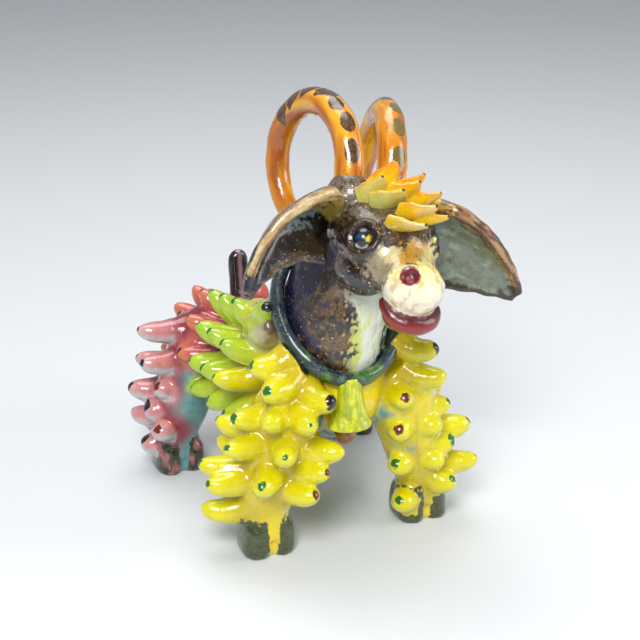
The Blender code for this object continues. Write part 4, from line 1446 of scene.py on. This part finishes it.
class MakeCoat(bpy.types.Operator):
    """Make the body with its legs, hooves, tail and coat of tufts"""

    bl_idname = "goat.coat"
    bl_label = "Coat"

    def execute(self, context):
        sizes = context.scene.goat_sizes
        tufts = coat_tufts()
        clay = Clay()
        add_barrel(clay)
        shares = [COAT_NECK_END * i / COAT_NECK_STEPS for i in range(COAT_NECK_STEPS + 1)]
        clay.rings([neck_ring(share) for share in shares])
        for side in (RIGHT, LEFT):
            for stance, y in ((FORE_STANCE, 0.0), (HIND_STANCE, LEG_SPAN)):
                add_leg(clay, side, stance, y)
                add_hoof(clay, side, stance, y)
        for tuft in tufts:
            add_tuft(clay, tuft, sizes.tuft_radius, sizes.tuft_curl)
        add_tail(clay)
        coat = clay.done("coat")
        settle(coat, COAT_VOXEL, 12)
        ripple(coat, 0.0005, 0.009, 1.0)
        flatten_soles(coat)
        paint_coat(coat, tufts, sizes.tuft_radius, sizes.tuft_curl)
        coat.data.materials.append(coat_glaze())
        attach(coat)
        return {"FINISHED"}


SOLE_TOLERANCE = 0.0006


def flatten_soles(coat):
    """Keeps the hooves' soles on the ground."""
    places = places_of(coat)
    ground = -HOME.z
    places[:, 2] = np.where(places[:, 2] < ground + SOLE_TOLERANCE, ground, places[:, 2])
    put_places(coat, places)


class MakeHead(bpy.types.Operator):
    """Make the head with its ears, lips and neck"""

    bl_idname = "goat.head"
    bl_label = "Head"

    def execute(self, context):
        sizes = context.scene.goat_sizes
        clay = Clay()
        forms = {"skull": [add_skull(clay), add_upper_lip(clay)], "lip": [add_lip(clay)], "ear": []}
        shares = [blend(HEAD_NECK_START, 1.0, i / HEAD_NECK_STEPS) for i in range(HEAD_NECK_STEPS + 1)]
        forms["neck"] = [clay.rings([neck_ring(share) for share in shares])]
        leaves = {side: ear_leaf(side) for side in (RIGHT, LEFT)}
        for side in (RIGHT, LEFT):
            forms["skull"] += [add_cheek(clay, side), add_crown(clay, side)]
            upper, lower = (-1, 0) if side == RIGHT else (0, -1)
            rims = ((upper, *UPPER_RIM), (lower, *LOWER_RIM))
            forms["ear"].append(leaves[side].add(clay, sizes.ear_wall, rims))
        head = clay.done("head")
        settle(head, HEAD_VOXEL, 6)
        carve_face(head)
        ripple(head, 0.0006, 0.008, 4.0)
        paint_head(head, forms, leaves, context.scene.goat_paints)
        head.data.materials.append(mottled_glaze("head_glaze", srgb(158, 128, 88)))
        attach(head)
        return {"FINISHED"}


def carve_face(head):
    """Sinks the nostrils and eye sockets, and raises the rims and lids round them."""
    places, normals = places_of(head), normals_of(head)
    shift = np.zeros(len(places))
    for side in (RIGHT, LEFT):
        gap = np.linalg.norm(places - np.array(nostril_middle(side)), axis=1) / NOSTRIL_RADIUS
        shift -= NOSTRIL_DEPTH * ramp(gap, 1.0, 0.35)
        shift += NOSTRIL_RIM * np.exp(-(((gap - 1.15) / 0.28) ** 2))
        gap = np.linalg.norm(places - np.array(eye_middle(side)), axis=1) / LID_REACH
        shift += LID_RISE * np.exp(-(((gap - 0.86) / 0.13) ** 2))
        shift -= SOCKET_DEPTH * ramp(gap, 0.72, 0.5)
    put_places(head, places + normals * shift[:, None])


def nearness(places, clouds):
    """The distance from each place to the nearest of some points, in millimetres."""
    points = np.concatenate(clouds)
    tree = KDTree(len(points))
    for i, point in enumerate(points):
        tree.insert(point, i)
    tree.balance()
    return np.array([tree.find(place)[2] for place in places]) * MM


def paint_head(head, forms, leaves, paints):
    """Stores the painted colours of the head, its lips, ears and neck."""
    places, normals = places_of(head), normals_of(head)
    reach = {name: nearness(places, clouds) for name, clouds in forms.items()}
    margins = {}
    for name in ("lip", "neck", "ear"):
        others = np.min([reach[other] for other in reach if other != name], axis=0)
        margins[name] = others - reach[name]
    back = np.array(Matrix.Rotation(-LEAN, 3, "Y"))
    pivot = np.array((0.0, 0.0, LEAN_PIVOT))
    paint = Paint(((places - pivot) @ back.T + pivot) * MM, paints.bark, 1.0)
    broad, wobble = paint.cloud(8.0, 2.0), paint.cloud(3.4, 5.0)
    paint_skull(paint, broad, wobble, paints)
    for side in (RIGHT, LEFT):
        gap = np.linalg.norm(places - np.array(eye_middle(side)), axis=1) * MM
        paint.lay(ramp(gap + 2.0 * wobble, 10.0, 8.6), srgb(34, 25, 22), 0.5)
        lid = np.exp(-(((gap - 7.8) / 0.4) ** 2)) * ramp(wobble, -0.2, 0.3)
        paint.lay(lid * 0.45, srgb(134, 98, 74), 0.3)
        gap = np.linalg.norm(places - np.array(nostril_middle(side)), axis=1) * MM
        paint.lay(ramp(gap + 0.8 * wobble, 5.6, 5.0), srgb(118, 18, 32), 0.0)
        paint.lay(ramp(gap + 2.5 * wobble, 3.8, 1.8) * 0.75, srgb(56, 6, 18))
    lip = ramp(margins["lip"], -0.35, 0.25)
    paint.lay(lip, paints.lip, 0.0)
    # Painted shade: the lower lip's upward faces, inside the mouth under the muzzle, are darkened
    paint.lay(lip * ramp(normals[:, 2], 0.10, 0.55) * 0.8, srgb(62, 8, 14))
    paint_neck(paint, margins["neck"], broad, wobble)
    ear = leaf_places(places, [leaves[RIGHT], leaves[LEFT]])
    paint_ears(paint, margins["ear"], ear, broad, wobble)
    paint.keep(head)


def paint_skull(paint, broad, wobble, paints):
    """Brown and tan over the skull, navy along the jaw, and ivory on the muzzle."""
    x, y, z = paint.spots.T
    paint.lay(ramp(broad, 0.0, 0.30) * 0.65, srgb(84, 62, 44))
    paint.lay(ramp(z + 8.0 * wobble, 175.0, 183.0) * 0.7, srgb(112, 98, 82))
    paint.lay(paint.blot((3.0, -45.0, 171.0), (9.0, 8.0, 6.0), wobble) * 0.9, srgb(198, 150, 62), 0.5)
    for side in (RIGHT, LEFT):
        cheek = paint.blot((15.5 * side, -44.0, 162.0), (8.0, 10.0, 10.0), wobble)
        paint.lay(cheek, srgb(150, 138, 110), 0.35)
        light = paint.blot((12.0 * side, -44.0, 168.0), (5.0, 6.0, 4.0), wobble)
        paint.lay(light, srgb(200, 184, 130), 0.2)
    jaw = ramp(z + 5.0 * wobble, 156.0, 150.0) * ramp(y, -50.0, -40.0)
    paint.lay(jaw * 0.85, srgb(30, 34, 54))
    edge = -49.5 + 6.0 * ramp(z, 154.0, 148.0) + 1.3 * np.maximum(0.0, x)
    ivory = ramp(edge - y + 3.5 * wobble, -0.8, 0.8) * ramp(z - 0.35 * x + 4.0 * wobble, 171.5, 169.5)
    paint.lay(ivory, paints.ivory, 0.0)
    paint.lay(ivory * ramp(z + 5.0 * wobble, 156.0, 165.0) * 0.75, srgb(234, 218, 116))
    paint.lay(ivory * ramp(broad + 0.4 * wobble, 0.16, 0.40) * 0.55, srgb(190, 150, 92))
    paint.lay(ivory * ramp(edge - y, 3.5, 0.0) * ramp(wobble, -0.1, 0.3) * 0.6, srgb(150, 112, 64))
    paint.lay(paint.blot((-8.0, -50.0, 169.0), (6.0, 4.0, 3.5), wobble) * 0.85, srgb(190, 138, 52), 0.2)


def paint_neck(paint, margin, broad, wobble):
    """Brown and navy round the neck, and white with a lime streak down its front."""
    x, y, z = paint.spots.T
    neck = ramp(margin, -0.5, 0.8)
    paint.lay(neck, srgb(44, 32, 28), 0.9)
    flow = soft_noise(paint.spots * np.array((1.0, 1.0, 0.2)), 3.0, 4.0)
    paint.lay(neck * ramp(broad + 0.8 * flow, 0.0, 0.35) * 0.7, srgb(116, 88, 46), 0.6)
    paint.lay(neck * ramp(y + 14.0 * broad, -4.0, 4.0) * 0.9, srgb(18, 26, 62), 0.4)
    side = x + 5.0 * wobble + 5.0 * flow + 0.15 * (z - 137.0)
    front = neck * ramp(side, -14.5, -12.0) * ramp(x + 5.0 * wobble, 21.0, 16.0) * ramp(y, 6.0, -3.0)
    paint.lay(front, srgb(214, 218, 198), 0.0)
    paint.lay(front * ramp(x + 9.0 * flow, -1.0, -7.0) * ramp(z, 134.0, 120.0) * 0.9, srgb(192, 200, 54))
    paint.lay(front * ramp(x - 9.0 * flow, -4.0, 3.0) * ramp(flow, -0.15, 0.25) * 0.65, srgb(146, 164, 160))
    paint.lay(front * ramp(side, -7.0, -13.0) * ramp(flow, -0.1, 0.2) * 0.6, srgb(118, 104, 60))
    paint.lay(front * ramp(abs(x + 4.0 * wobble - 11.5), 2.2, 1.2) * 0.9, srgb(44, 84, 48))


def paint_ears(paint, margin, ear, broad, wobble):
    """A dark hollow and a tan roll on the right ear, a grey-green hollow on the left one."""
    leaf, across, run, inside = ear
    across = np.where(leaf == 0, across, -across)  # +1 at the upper edge of both ears
    on = ramp(margin, -0.4, 0.6)
    fine = paint.cloud(2.2, 8.0)
    right, left = on * (leaf == 0), on * (leaf == 1)
    outer = ramp(inside, -0.3, -1.2)
    lie = np.stack([8.0 * run, 12.0 * across + 0.8 * inside, 9.0 * leaf], axis=1)
    flow = soft_noise(lie, 1.8, 3.0)
    paint.lay(right, srgb(24, 18, 20), 0.3)
    spot = ramp(abs(run - 0.30) + 0.15 * wobble, 0.15, 0.11)
    spot = spot * ramp(abs(across - 0.15) + 0.4 * fine, 0.50, 0.38)
    paint.lay(right * ramp(inside, 0.0, 0.8) * spot, srgb(134, 160, 166), 0.0)
    paint.lay(right * outer, srgb(46, 50, 74), 0.4)
    paint.lay(right * outer * ramp(flow + 0.5 * fine, 0.05, 0.35) * 0.6, srgb(118, 118, 138), 0.2)
    rim = right * ramp(across + 0.12 * wobble, 0.42, 0.54) * ramp(inside + 1.5 * flow, -2.9, -1.9)
    paint.lay(rim, srgb(184, 152, 100), 0.35)
    paint.lay(rim * ramp(flow + 0.3 * broad, 0.0, 0.25) * 0.85, srgb(96, 64, 36), 0.4)
    paint.lay(rim * ramp(-flow + 0.3 * fine, 0.05, 0.30) * 0.8, srgb(214, 194, 142), 0.1)
    paint.lay(rim * ramp(run + 0.1 * wobble, 0.24, 0.12) * 0.85, srgb(194, 164, 58), 0.2)
    lower = right * ramp(across + 0.2 * wobble, -0.86, -0.94) * ramp(run, 0.40, 0.52)
    paint.lay(lower, srgb(64, 50, 36), 0.4)
    paint.lay(lower * ramp(fine + 0.5 * wobble, 0.20, 0.40) * 0.6, srgb(150, 130, 78), 0.2)
    paint.lay(right * ramp(run + 0.10 * wobble, 0.88, 0.93), srgb(20, 26, 48), 0.2)
    paint.lay(left, srgb(106, 118, 104), 0.15)
    paint.lay(left * ramp(broad + 0.5 * flow, 0.0, 0.35) * 0.75, srgb(138, 156, 136))
    paint.lay(left * ramp(wobble - 0.5 * flow, 0.05, 0.35) * 0.6, srgb(96, 94, 62))
    paint.lay(left * ramp(run + 0.4 * broad, 0.35, 0.0) * 0.5, srgb(118, 142, 146))
    paint.lay(left * outer, srgb(58, 50, 72), 0.5)
    rim = left * ramp(across + 0.10 * wobble, 0.72, 0.80)
    paint.lay(rim, srgb(138, 90, 50), 0.2)
    paint.lay(rim * ramp(flow, 0.05, 0.30) * 0.5, srgb(204, 168, 116), 0.1)
    paint.lay(rim * ramp(-flow + 0.4 * broad, -0.05, 0.18) * 0.9, srgb(72, 38, 22), 0.3)
    paint.lay(rim * ramp(run + 0.1 * wobble, 0.24, 0.14) * 0.9, srgb(206, 174, 46), 0.1)
    paint.lay(left * ramp(across + 0.10 * wobble, -0.86, -0.93), srgb(46, 28, 22), 0.2)
    paint.lay(left * ramp(run + 0.08 * wobble, 0.88, 0.94), srgb(38, 24, 20), 0.2)


def leaf_places(places, leaves):
    """Which leaf is nearest, the places across and along it, and how far towards its hollow."""
    spots, marks, faces = [], [], []
    turn = Matrix.Rotation(LEAN, 3, "Y")
    for which, leaf in enumerate(leaves):
        steps = len(leaf.rows) - 1
        for i, row in enumerate(leaf.rows):
            for j, point in enumerate(row):
                spots.append(lean(point))
                marks.append((which, 2.0 * j / (len(row) - 1) - 1.0, i / steps))
                faces.append(tuple(turn @ leaf.normals[i][j]))
    tree = KDTree(len(spots))
    for i, spot in enumerate(spots):
        tree.insert(spot, i)
    tree.balance()
    found = np.array([tree.find(place)[1] for place in places])
    marks = np.array(marks)[found]
    offset = places - np.array([tuple(spot) for spot in spots])[found]
    inside = (offset * np.array(faces)[found]).sum(axis=1) * MM
    return marks[:, 0], marks[:, 1], marks[:, 2], inside


def mottled_glaze(name, light, deep=0.0006):
    """Painted colours under clear glaze, sponged lighter and darker where they are mottled."""
    sheet = Sheet(name)
    place = sheet.place()
    mottled = sheet.value("mottled")
    fine = sheet.cloud(place, 1.8, 5.0, 0.7)
    broad = sheet.cloud(place, 5.0, 3.0)
    paint = sheet.colour("paint")
    paint = sheet.mix((fine + broad * 0.5).ramp(0.78, 0.92) * mottled * 0.6, paint, light)
    paint = sheet.mix((fine - broad * 0.4).ramp(0.28, 0.18) * mottled * 0.75, paint, srgb(18, 14, 16))
    paint = sheet.mix(broad.ramp(0.35, 0.75) * 0.22, paint, (0.5, 0.5, 0.5), "SOFT_LIGHT")
    specks = sheet.dots(place, 2.8).ramp(0.17, 0.11) * broad.ramp(0.48, 0.56) * mottled
    paint = sheet.mix(specks, paint, srgb(228, 222, 204))
    return sheet.finish(paint, 0.13 + broad * 0.14, fine * 0.5 + broad, deep)


class MakeHorns(bpy.types.Operator):
    """Make the two looped horns"""

    bl_idname = "goat.horns"
    bl_label = "Horns"

    def execute(self, context):
        sizes = context.scene.goat_sizes
        for side, name in ((RIGHT, "right_horn"), (LEFT, "left_horn")):
            clay = Clay()
            shares = [i / HORN_STEPS for i in range(HORN_STEPS + 1)]
            centres = [horn_point(side, share) for share in shares]
            radii = []
            for share in shares:
                radius = blend(sizes.horn_root_radius, sizes.horn_tip_radius, share**1.5)
                radii.append((radius, radius))
            clay.tube(centres, radii, SIDEWAYS, HORN_SIDES, lean)
            horn = clay.done(name)
            ripple(horn, 0.0005, 0.009, 9.0)
            along = np.repeat(shares, HORN_SIDES)
            around = np.tile(np.arange(HORN_SIDES) / HORN_SIDES, HORN_STEPS + 1)
            paint_horn(horn, side, along, around, context.scene.goat_paints)
            horn.data.materials.append(marked_glaze(name + "_glaze"))
            attach(horn)
        return {"FINISHED"}


def paint_horn(horn, side, along, around, paints):
    """Amber streaked with yellow and brown along the horn, with painted shade on the inner side of its
    curl, and the distance from its marks.
    """
    turn = 2.0 * math.pi * around
    flow = np.stack([along * 3.0, np.cos(turn) * 0.8, np.sin(turn) * 0.8], axis=1)
    paint = Paint(flow, paints.amber)
    streak, patch = paint.cloud(0.5, 3.0 + side), paint.cloud(1.4, 7.0 + side)
    paint.lay(ramp(streak, 0.0, 0.30) * 0.85, srgb(230, 172, 36))
    paint.lay(ramp(-streak + 0.3 * patch, 0.12, 0.40) * 0.75, srgb(160, 80, 8))
    # Painted shade: browner on the inner side of the curl, which faces the loop's middle
    inner = ramp(np.sin(turn), 0.2, 0.9)
    paint.lay(inner * ramp(patch, -0.4, 0.2) * 0.7, srgb(132, 62, 12))
    paint.lay(ramp(along, 0.42, 0.60) * ramp(patch + 0.5 * streak, -0.1, 0.25) * 0.55, srgb(170, 84, 10))
    paint.lay(ramp(along, 0.93, 0.97) * 0.8, srgb(190, 190, 50))
    paint.keep(horn)
    keep_value(horn, "dab", horn_marks(side, along, around))
    mark = np.tile(srgb(66, 34, 24), (len(along), 1))
    if side == LEFT:
        mark = np.where(along[:, None] < 0.33, srgb(104, 92, 36), srgb(50, 40, 52))
    keep_colour(horn, "mark", mark)


def horn_marks(side, along, around):
    """How far each place on a horn is from its painted ovals and teeth, in shares of their size."""
    curl = LEFT_HORN_CURL if side == LEFT else RIGHT_HORN_CURL
    length = HORN_SWEEP * curl * MM
    near = np.full(len(along), UNMARKED)
    for share, turn, half_length, half_width in HORN_OVALS[side]:
        ahead = (along - share) * length / half_length
        aside = ((around - turn + 0.5) % 1.0 - 0.5) * HORN_GIRTH / half_width
        near = np.minimum(near, np.hypot(ahead, aside))
    for share, crest in HORN_TEETH[side]:
        round_horn = abs((around - crest + 0.5) % 1.0 - 0.5) * HORN_GIRTH
        depth = np.maximum(0.0, round_horn - TOOTH_BASE) / TOOTH_DEPTH
        ahead = (along - share) * length - 4.0 * depth
        near = np.minimum(near, abs(ahead) / (TOOTH_WIDTH * np.maximum(0.02, 1.0 - depth)))
    return near


def marked_glaze(name):
    """Painted colours with dark dabs over them, under clear glaze."""
    sheet = Sheet(name)
    place = sheet.place()
    fine = sheet.cloud(place, 1.6, 4.0, 0.65)
    broad = sheet.cloud(place, 6.0, 3.0)
    dab = sheet.value("dab") + (fine - 0.5) * 0.35
    inked = sheet.mix(fine.ramp(0.40, 0.65) * 0.35, sheet.colour("mark"), srgb(150, 120, 60))
    paint = sheet.mix(dab.ramp(1.06, 0.94), sheet.colour("paint"), inked)
    paint = sheet.mix(sheet.dots(place, 9.0).ramp(0.06, 0.04) * 0.8, paint, srgb(96, 50, 14))
    return sheet.finish(paint, 0.13 + broad * 0.12, broad + fine * 0.15, 0.0006)


class MakeForelock(bpy.types.Operator):
    """Make the crest of cupped petals"""

    bl_idname = "goat.forelock"
    bl_label = "Forelock"

    def execute(self, context):
        sizes = context.scene.goat_sizes
        clay = Clay()
        leaves = [petal_leaf(place, sizes.petal_length, sizes.petal_width) for place in PETALS]
        for leaf in leaves:
            leaf.add(clay, sizes.petal_wall)
        forelock = clay.done("forelock")
        settle(forelock, PETAL_VOXEL, 3)
        paint_petals(forelock, leaves)
        forelock.data.materials.append(mottled_glaze("petal_glaze", srgb(250, 230, 110), 0.0003))
        attach(forelock)
        return {"FINISHED"}


def paint_petals(forelock, leaves):
    """Yellow hollows that turn orange, pale backs, and a black dot on each tip."""
    places = places_of(forelock)
    paint = Paint(places * MM, srgb(244, 206, 32), 0.1)
    which, across, run, inside = leaf_places(places, leaves)
    wobble, draw = paint.cloud(2.5, 6.0), np.random.default_rng(5)
    amount = draw.uniform(0.1, 1.0, len(leaves))[which.astype(int)]
    paint.lay(ramp(run + 0.2 * wobble, 0.50, 0.95) * (0.15 + 0.60 * amount), srgb(232, 138, 24))
    back = ramp(inside, 0.1, -0.4)
    paint.lay(back * np.isin(which, (2, 4)) * (0.75 + 0.5 * wobble), srgb(206, 212, 124))
    pale = back * np.isin(which, (6, 7)) * ramp(run + 0.4 * wobble, 0.4, 0.7)
    paint.lay(pale * 0.75, srgb(240, 222, 160))
    edge = ramp(abs(across) + 0.15 * wobble, 0.70, 0.95) * ramp(run, 0.25, 0.55)
    paint.lay(edge * (0.2 + 0.6 * amount), srgb(222, 96, 22))
    paint.lay(ramp(run, 0.955, 0.985), srgb(24, 20, 16), 0.0)
    paint.keep(forelock)


class MakeEyes(bpy.types.Operator):
    """Make the two eyeballs"""

    bl_idname = "goat.eyes"
    bl_label = "Eyes"

    def execute(self, context):
        radius = context.scene.goat_sizes.eye_radius
        for side, name in ((RIGHT, "right_eye"), (LEFT, "left_eye")):
            clay = Clay()
            clay.ball(eye_middle(side), Vector((1.0, 1.0, 1.0)) * radius)
            eye = clay.done(name)
            paint_eye(eye, side)
            eye.data.materials.append(marked_glaze(name + "_glaze"))
            attach(eye)
        return {"FINISHED"}


def paint_eye(eye, side):
    """A blue-black ball with a yellow light in front and a white crescent below."""
    spots = (places_of(eye) - np.array(eye_middle(side))) * MM
    paint = Paint(spots, srgb(12, 14, 26))
    wobble = paint.cloud(2.0, 1.0)
    radius = np.linalg.norm(spots, axis=1).mean()
    out = spots / radius * np.array((side, 1.0, 1.0))
    for towards, colour, low, high in EYE_LIGHTS:
        near = out @ np.array(Vector(towards).normalized())
        paint.lay(ramp(near + 0.06 * wobble, low, high), colour)
    paint.keep(eye)
    keep_value(eye, "dab", np.full(len(spots), UNMARKED))
    keep_colour(eye, "mark", paint.colours)


class MakeCollar(bpy.types.Operator):
    """Make the collar round the neck"""

    bl_idname = "goat.collar"
    bl_label = "Collar"

    def execute(self, context):
        sizes = context.scene.goat_sizes
        across, along = collar_axes(sizes.collar_thickness)
        axis = across.cross(along).normalized()
        clay = Clay()
        rings = []
        for i in range(COLLAR_RINGS):
            angle = 2.0 * math.pi * i / COLLAR_RINGS
            spoke = across * math.cos(angle) + along * math.sin(angle)
            swell = 1.0 + 0.06 * math.sin(7.0 * angle) + 0.04 * math.sin(13.0 * angle + 1.0)
            out = spoke.normalized() * (0.5 * sizes.collar_thickness * swell)
            middle = collar_middle() + spoke
            band = axis * (0.5 * sizes.collar_band * swell)
            rings.append(ellipse(middle, out, band, COLLAR_SIDES))
        clay.rings(rings, round_trip=True)
        collar = clay.done("collar")
        paint_collar(collar)
        collar.data.materials.append(mottled_glaze("collar_glaze", srgb(120, 158, 92)))
        attach(collar)
        return {"FINISHED"}


def paint_collar(collar):
    """Mixed greens that turn blue-grey at the right and blue below."""
    paint = Paint(places_of(collar) * MM, srgb(22, 40, 30), 0.35)
    broad, wobble = paint.cloud(12.0, 3.0), paint.cloud(4.0, 1.0)
    paint.lay(ramp(broad + 0.5 * wobble, -0.05, 0.25) * 0.9, srgb(48, 96, 40))
    paint.lay(ramp(wobble, 0.10, 0.40) * 0.7, srgb(96, 140, 52))
    x, _, z = paint.spots.T
    paint.lay(ramp(x + 20.0 * broad, -8.0, -20.0) * 0.85, srgb(30, 40, 62), 0.5)
    low = ramp(z + 14.0 * broad, 106.0, 98.0) * ramp(wobble, -0.2, 0.1)
    paint.lay(low * 0.8, srgb(30, 50, 92), 0.3)
    paint.keep(collar)


# share of the height down from the top, and the share of the way from top width to mouth width
BELL_PROFILE = (
    (-0.16, -0.30),
    (0.0, 0.0),
    (0.20, 0.08),
    (0.40, 0.20),
    (0.55, 0.32),
    (0.70, 0.48),
    (0.82, 0.68),
    (0.90, 0.84),
    (0.96, 0.96),
    (1.0, 1.0),
)
# The rolled rim and the start of the hollow: height above the mouth, and share of its width
BELL_RIM = ((-0.0002, 0.97), (-0.0003, 0.92), (0.0, 0.86), (0.001, 0.80), (0.0032, 0.6))


class MakeBell(bpy.types.Operator):
    """Make the bell with its clapper"""

    bl_idname = "goat.bell"
    bl_label = "Bell"

    def execute(self, context):
        sizes = context.scene.goat_sizes
        top = collar_middle() - collar_axes(sizes.collar_thickness)[1] + BELL_SHIFT
        clay = Clay()
        rings = []
        for i in range(BELL_RINGS + 1):
            share = blend(BELL_PROFILE[0][0], 1.0, i / BELL_RINGS)
            half = 0.5 * blend(BELL_TOP_WIDTH, sizes.bell_mouth, look_up(BELL_PROFILE, share)[0])
            rings.append(bell_ring(top - UP * (sizes.bell_height * share), half))
        mouth = top - UP * sizes.bell_height
        for rise, share in BELL_RIM:
            rings.append(bell_ring(mouth + UP * rise, 0.5 * sizes.bell_mouth * share))
        clay.rings(rings)
        bell = clay.done("bell")
        ripple(bell, 0.0005, 0.008, 3.0)
        paint_bell(bell)
        bell.data.materials.append(mottled_glaze("bell_glaze", srgb(230, 230, 120), 0.0005))
        attach(bell)
        clay = Clay()
        drop = sizes.bell_height + CLAPPER_DROP * sizes.clapper_radius
        middle = top - Vector((CLAPPER_ASIDE, 0.0, drop))
        clay.ball(middle, Vector((1.0, 1.0, CLAPPER_STRETCH)) * sizes.clapper_radius)
        clapper = clay.done("clapper")
        clapper.data.materials.append(clapper_glaze())
        attach(clapper)
        return {"FINISHED"}


def bell_ring(centre, half):
    """A ring of the bell, a little flattened from front to back."""
    return ellipse(centre, SIDEWAYS * half, Vector((0.0, BELL_FLATNESS * half, 0.0)), BELL_SIDES)


def paint_bell(bell):
    """Yellow-green with streaks that run down."""
    paint = Paint(places_of(bell) * MM * np.array((1.0, 1.0, 0.22)), srgb(190, 198, 26), 0.10)
    streak, broad = paint.cloud(1.6, 2.0), paint.cloud(4.0, 4.0)
    paint.lay(ramp(streak, 0.0, 0.30) * 0.8, srgb(220, 222, 60))
    paint.lay(ramp(-streak, 0.08, 0.35) * 0.4, srgb(130, 150, 24))
    paint.lay(ramp(broad, 0.15, 0.40) * 0.3, srgb(110, 130, 40))
    paint.keep(bell)


def clapper_glaze():
    """Brown glaze in two tones."""
    sheet = Sheet("clapper_glaze")
    place = sheet.place()
    patch = sheet.cloud(place, 3.0)
    paint = sheet.mix(patch.ramp(0.4, 0.65), srgb(110, 60, 20), srgb(150, 96, 44))
    return sheet.finish(paint, 0.10 + patch * 0.1, patch, 0.0003)


# Stage

CAMERA_PLACE = Vector((-0.3004, -0.6150, 0.3972))  # from the middle between the fore hooves
CAMERA_TARGET = Vector((0.0052, 0.0404, 0.1050))
CAMERA_LENS = 82.0
SENSOR_WIDTH = 36.0
FLOOR_REACH = 4.0
# name, place from the middle between the fore hooves, size in metres, power in watts
LAMPS = (
    ("key", (-0.55, -0.75, 0.95), 0.45, 13.0),
    ("fill", (0.95, -0.55, 0.55), 0.60, 5.0),
    ("top", (0.05, 0.35, 1.20), 0.80, 8.0),
)
LAMP_TARGET = Vector((0.0, 0.02, 0.11))
WORLD_COLOUR = (0.93, 0.96, 1.0, 1.0)
WORLD_STRENGTH = 0.38


class MakeStage(bpy.types.Operator):
    """Make the pale floor, the soft lamps and the camera"""

    bl_idname = "goat.stage"
    bl_label = "Stage"

    def execute(self, context):
        scene = context.scene
        mesh = bpy.data.meshes.new("floor")
        half = FLOOR_REACH
        corners = [(-half, -half, 0), (half, -half, 0), (half, half, 0), (-half, half, 0)]
        mesh.from_pydata(corners, [], [(0, 1, 2, 3)])
        floor = bpy.data.objects.new("floor", mesh)
        scene.collection.objects.link(floor)
        sheet = Sheet("floor_paint")
        grain = sheet.cloud(sheet.place(), 400.0)
        colour = tuple(scene.goat_paints.floor)
        sheet.feed(sheet.shader.inputs["Base Color"], sheet.mix(grain * 0.06, colour, (0.6, 0.6, 0.6)))
        sheet.shader.inputs["Roughness"].default_value = 0.6
        mesh.materials.append(sheet.material)
        for name, place, size, power in LAMPS:
            lamp(name, place, size, power)
        world = bpy.data.worlds.new("studio")
        world.use_nodes = True
        background = world.node_tree.nodes["Background"]
        background.inputs["Color"].default_value = WORLD_COLOUR
        background.inputs["Strength"].default_value = WORLD_STRENGTH
        scene.world = world
        scene.view_settings.view_transform = "Standard"
        camera = bpy.data.objects.new("camera", bpy.data.cameras.new("camera"))
        scene.collection.objects.link(camera)
        camera.data.lens = CAMERA_LENS
        camera.data.sensor_width = SENSOR_WIDTH
        camera.data.clip_start = 0.01
        camera.location = HOME + CAMERA_PLACE
        look = CAMERA_TARGET - CAMERA_PLACE
        camera.rotation_euler = look.to_track_quat("-Z", "Y").to_euler()
        scene.camera = camera
        return {"FINISHED"}


def lamp(name, place, size, power):
    """A square soft lamp that faces the goat."""
    light = bpy.data.lights.new(name, "AREA")
    light.shape = "SQUARE"
    light.size = size
    light.energy = power
    holder = bpy.data.objects.new(name, light)
    bpy.context.scene.collection.objects.link(holder)
    holder.location = HOME + Vector(place)
    aim = LAMP_TARGET - Vector(place)
    holder.rotation_euler = aim.to_track_quat("-Z", "Y").to_euler()


class GoatPanel(bpy.types.Panel):
    """Lists the goat's sizes, colours and pieces"""

    bl_label = "Glazed Goat"
    bl_idname = "VIEW3D_PT_glazed_goat"
    bl_space_type = "VIEW_3D"
    bl_region_type = "UI"
    bl_category = "Goat"

    def draw(self, context):
        layout = self.layout
        for group in (context.scene.goat_sizes, context.scene.goat_paints):
            box = layout.box()
            for name in group.__annotations__:
                box.prop(group, name)
        for operator in OPERATORS:
            layout.operator(operator.bl_idname)


OPERATORS = (MakeCoat, MakeHead, MakeEyes, MakeHorns, MakeForelock, MakeCollar, MakeBell, MakeStage)
CLASSES = (GoatSizes, GoatPaints, *OPERATORS, GoatPanel)


def register():
    """Adds the goat's classes and its settings to Blender."""
    for part in CLASSES:
        bpy.utils.register_class(part)
    bpy.types.Scene.goat_sizes = PointerProperty(type=GoatSizes)
    bpy.types.Scene.goat_paints = PointerProperty(type=GoatPaints)


def unregister():
    """Takes them out again."""
    del bpy.types.Scene.goat_paints
    del bpy.types.Scene.goat_sizes
    for part in reversed(CLASSES):
        bpy.utils.unregister_class(part)


def main():
    """Makes the goat and its stage."""
    register()
    bpy.ops.goat.coat()
    bpy.ops.goat.head()
    bpy.ops.goat.eyes()
    bpy.ops.goat.horns()
    bpy.ops.goat.forelock()
    bpy.ops.goat.collar()
    bpy.ops.goat.bell()
    bpy.ops.goat.stage()


if __name__ == "__main__":
    main()
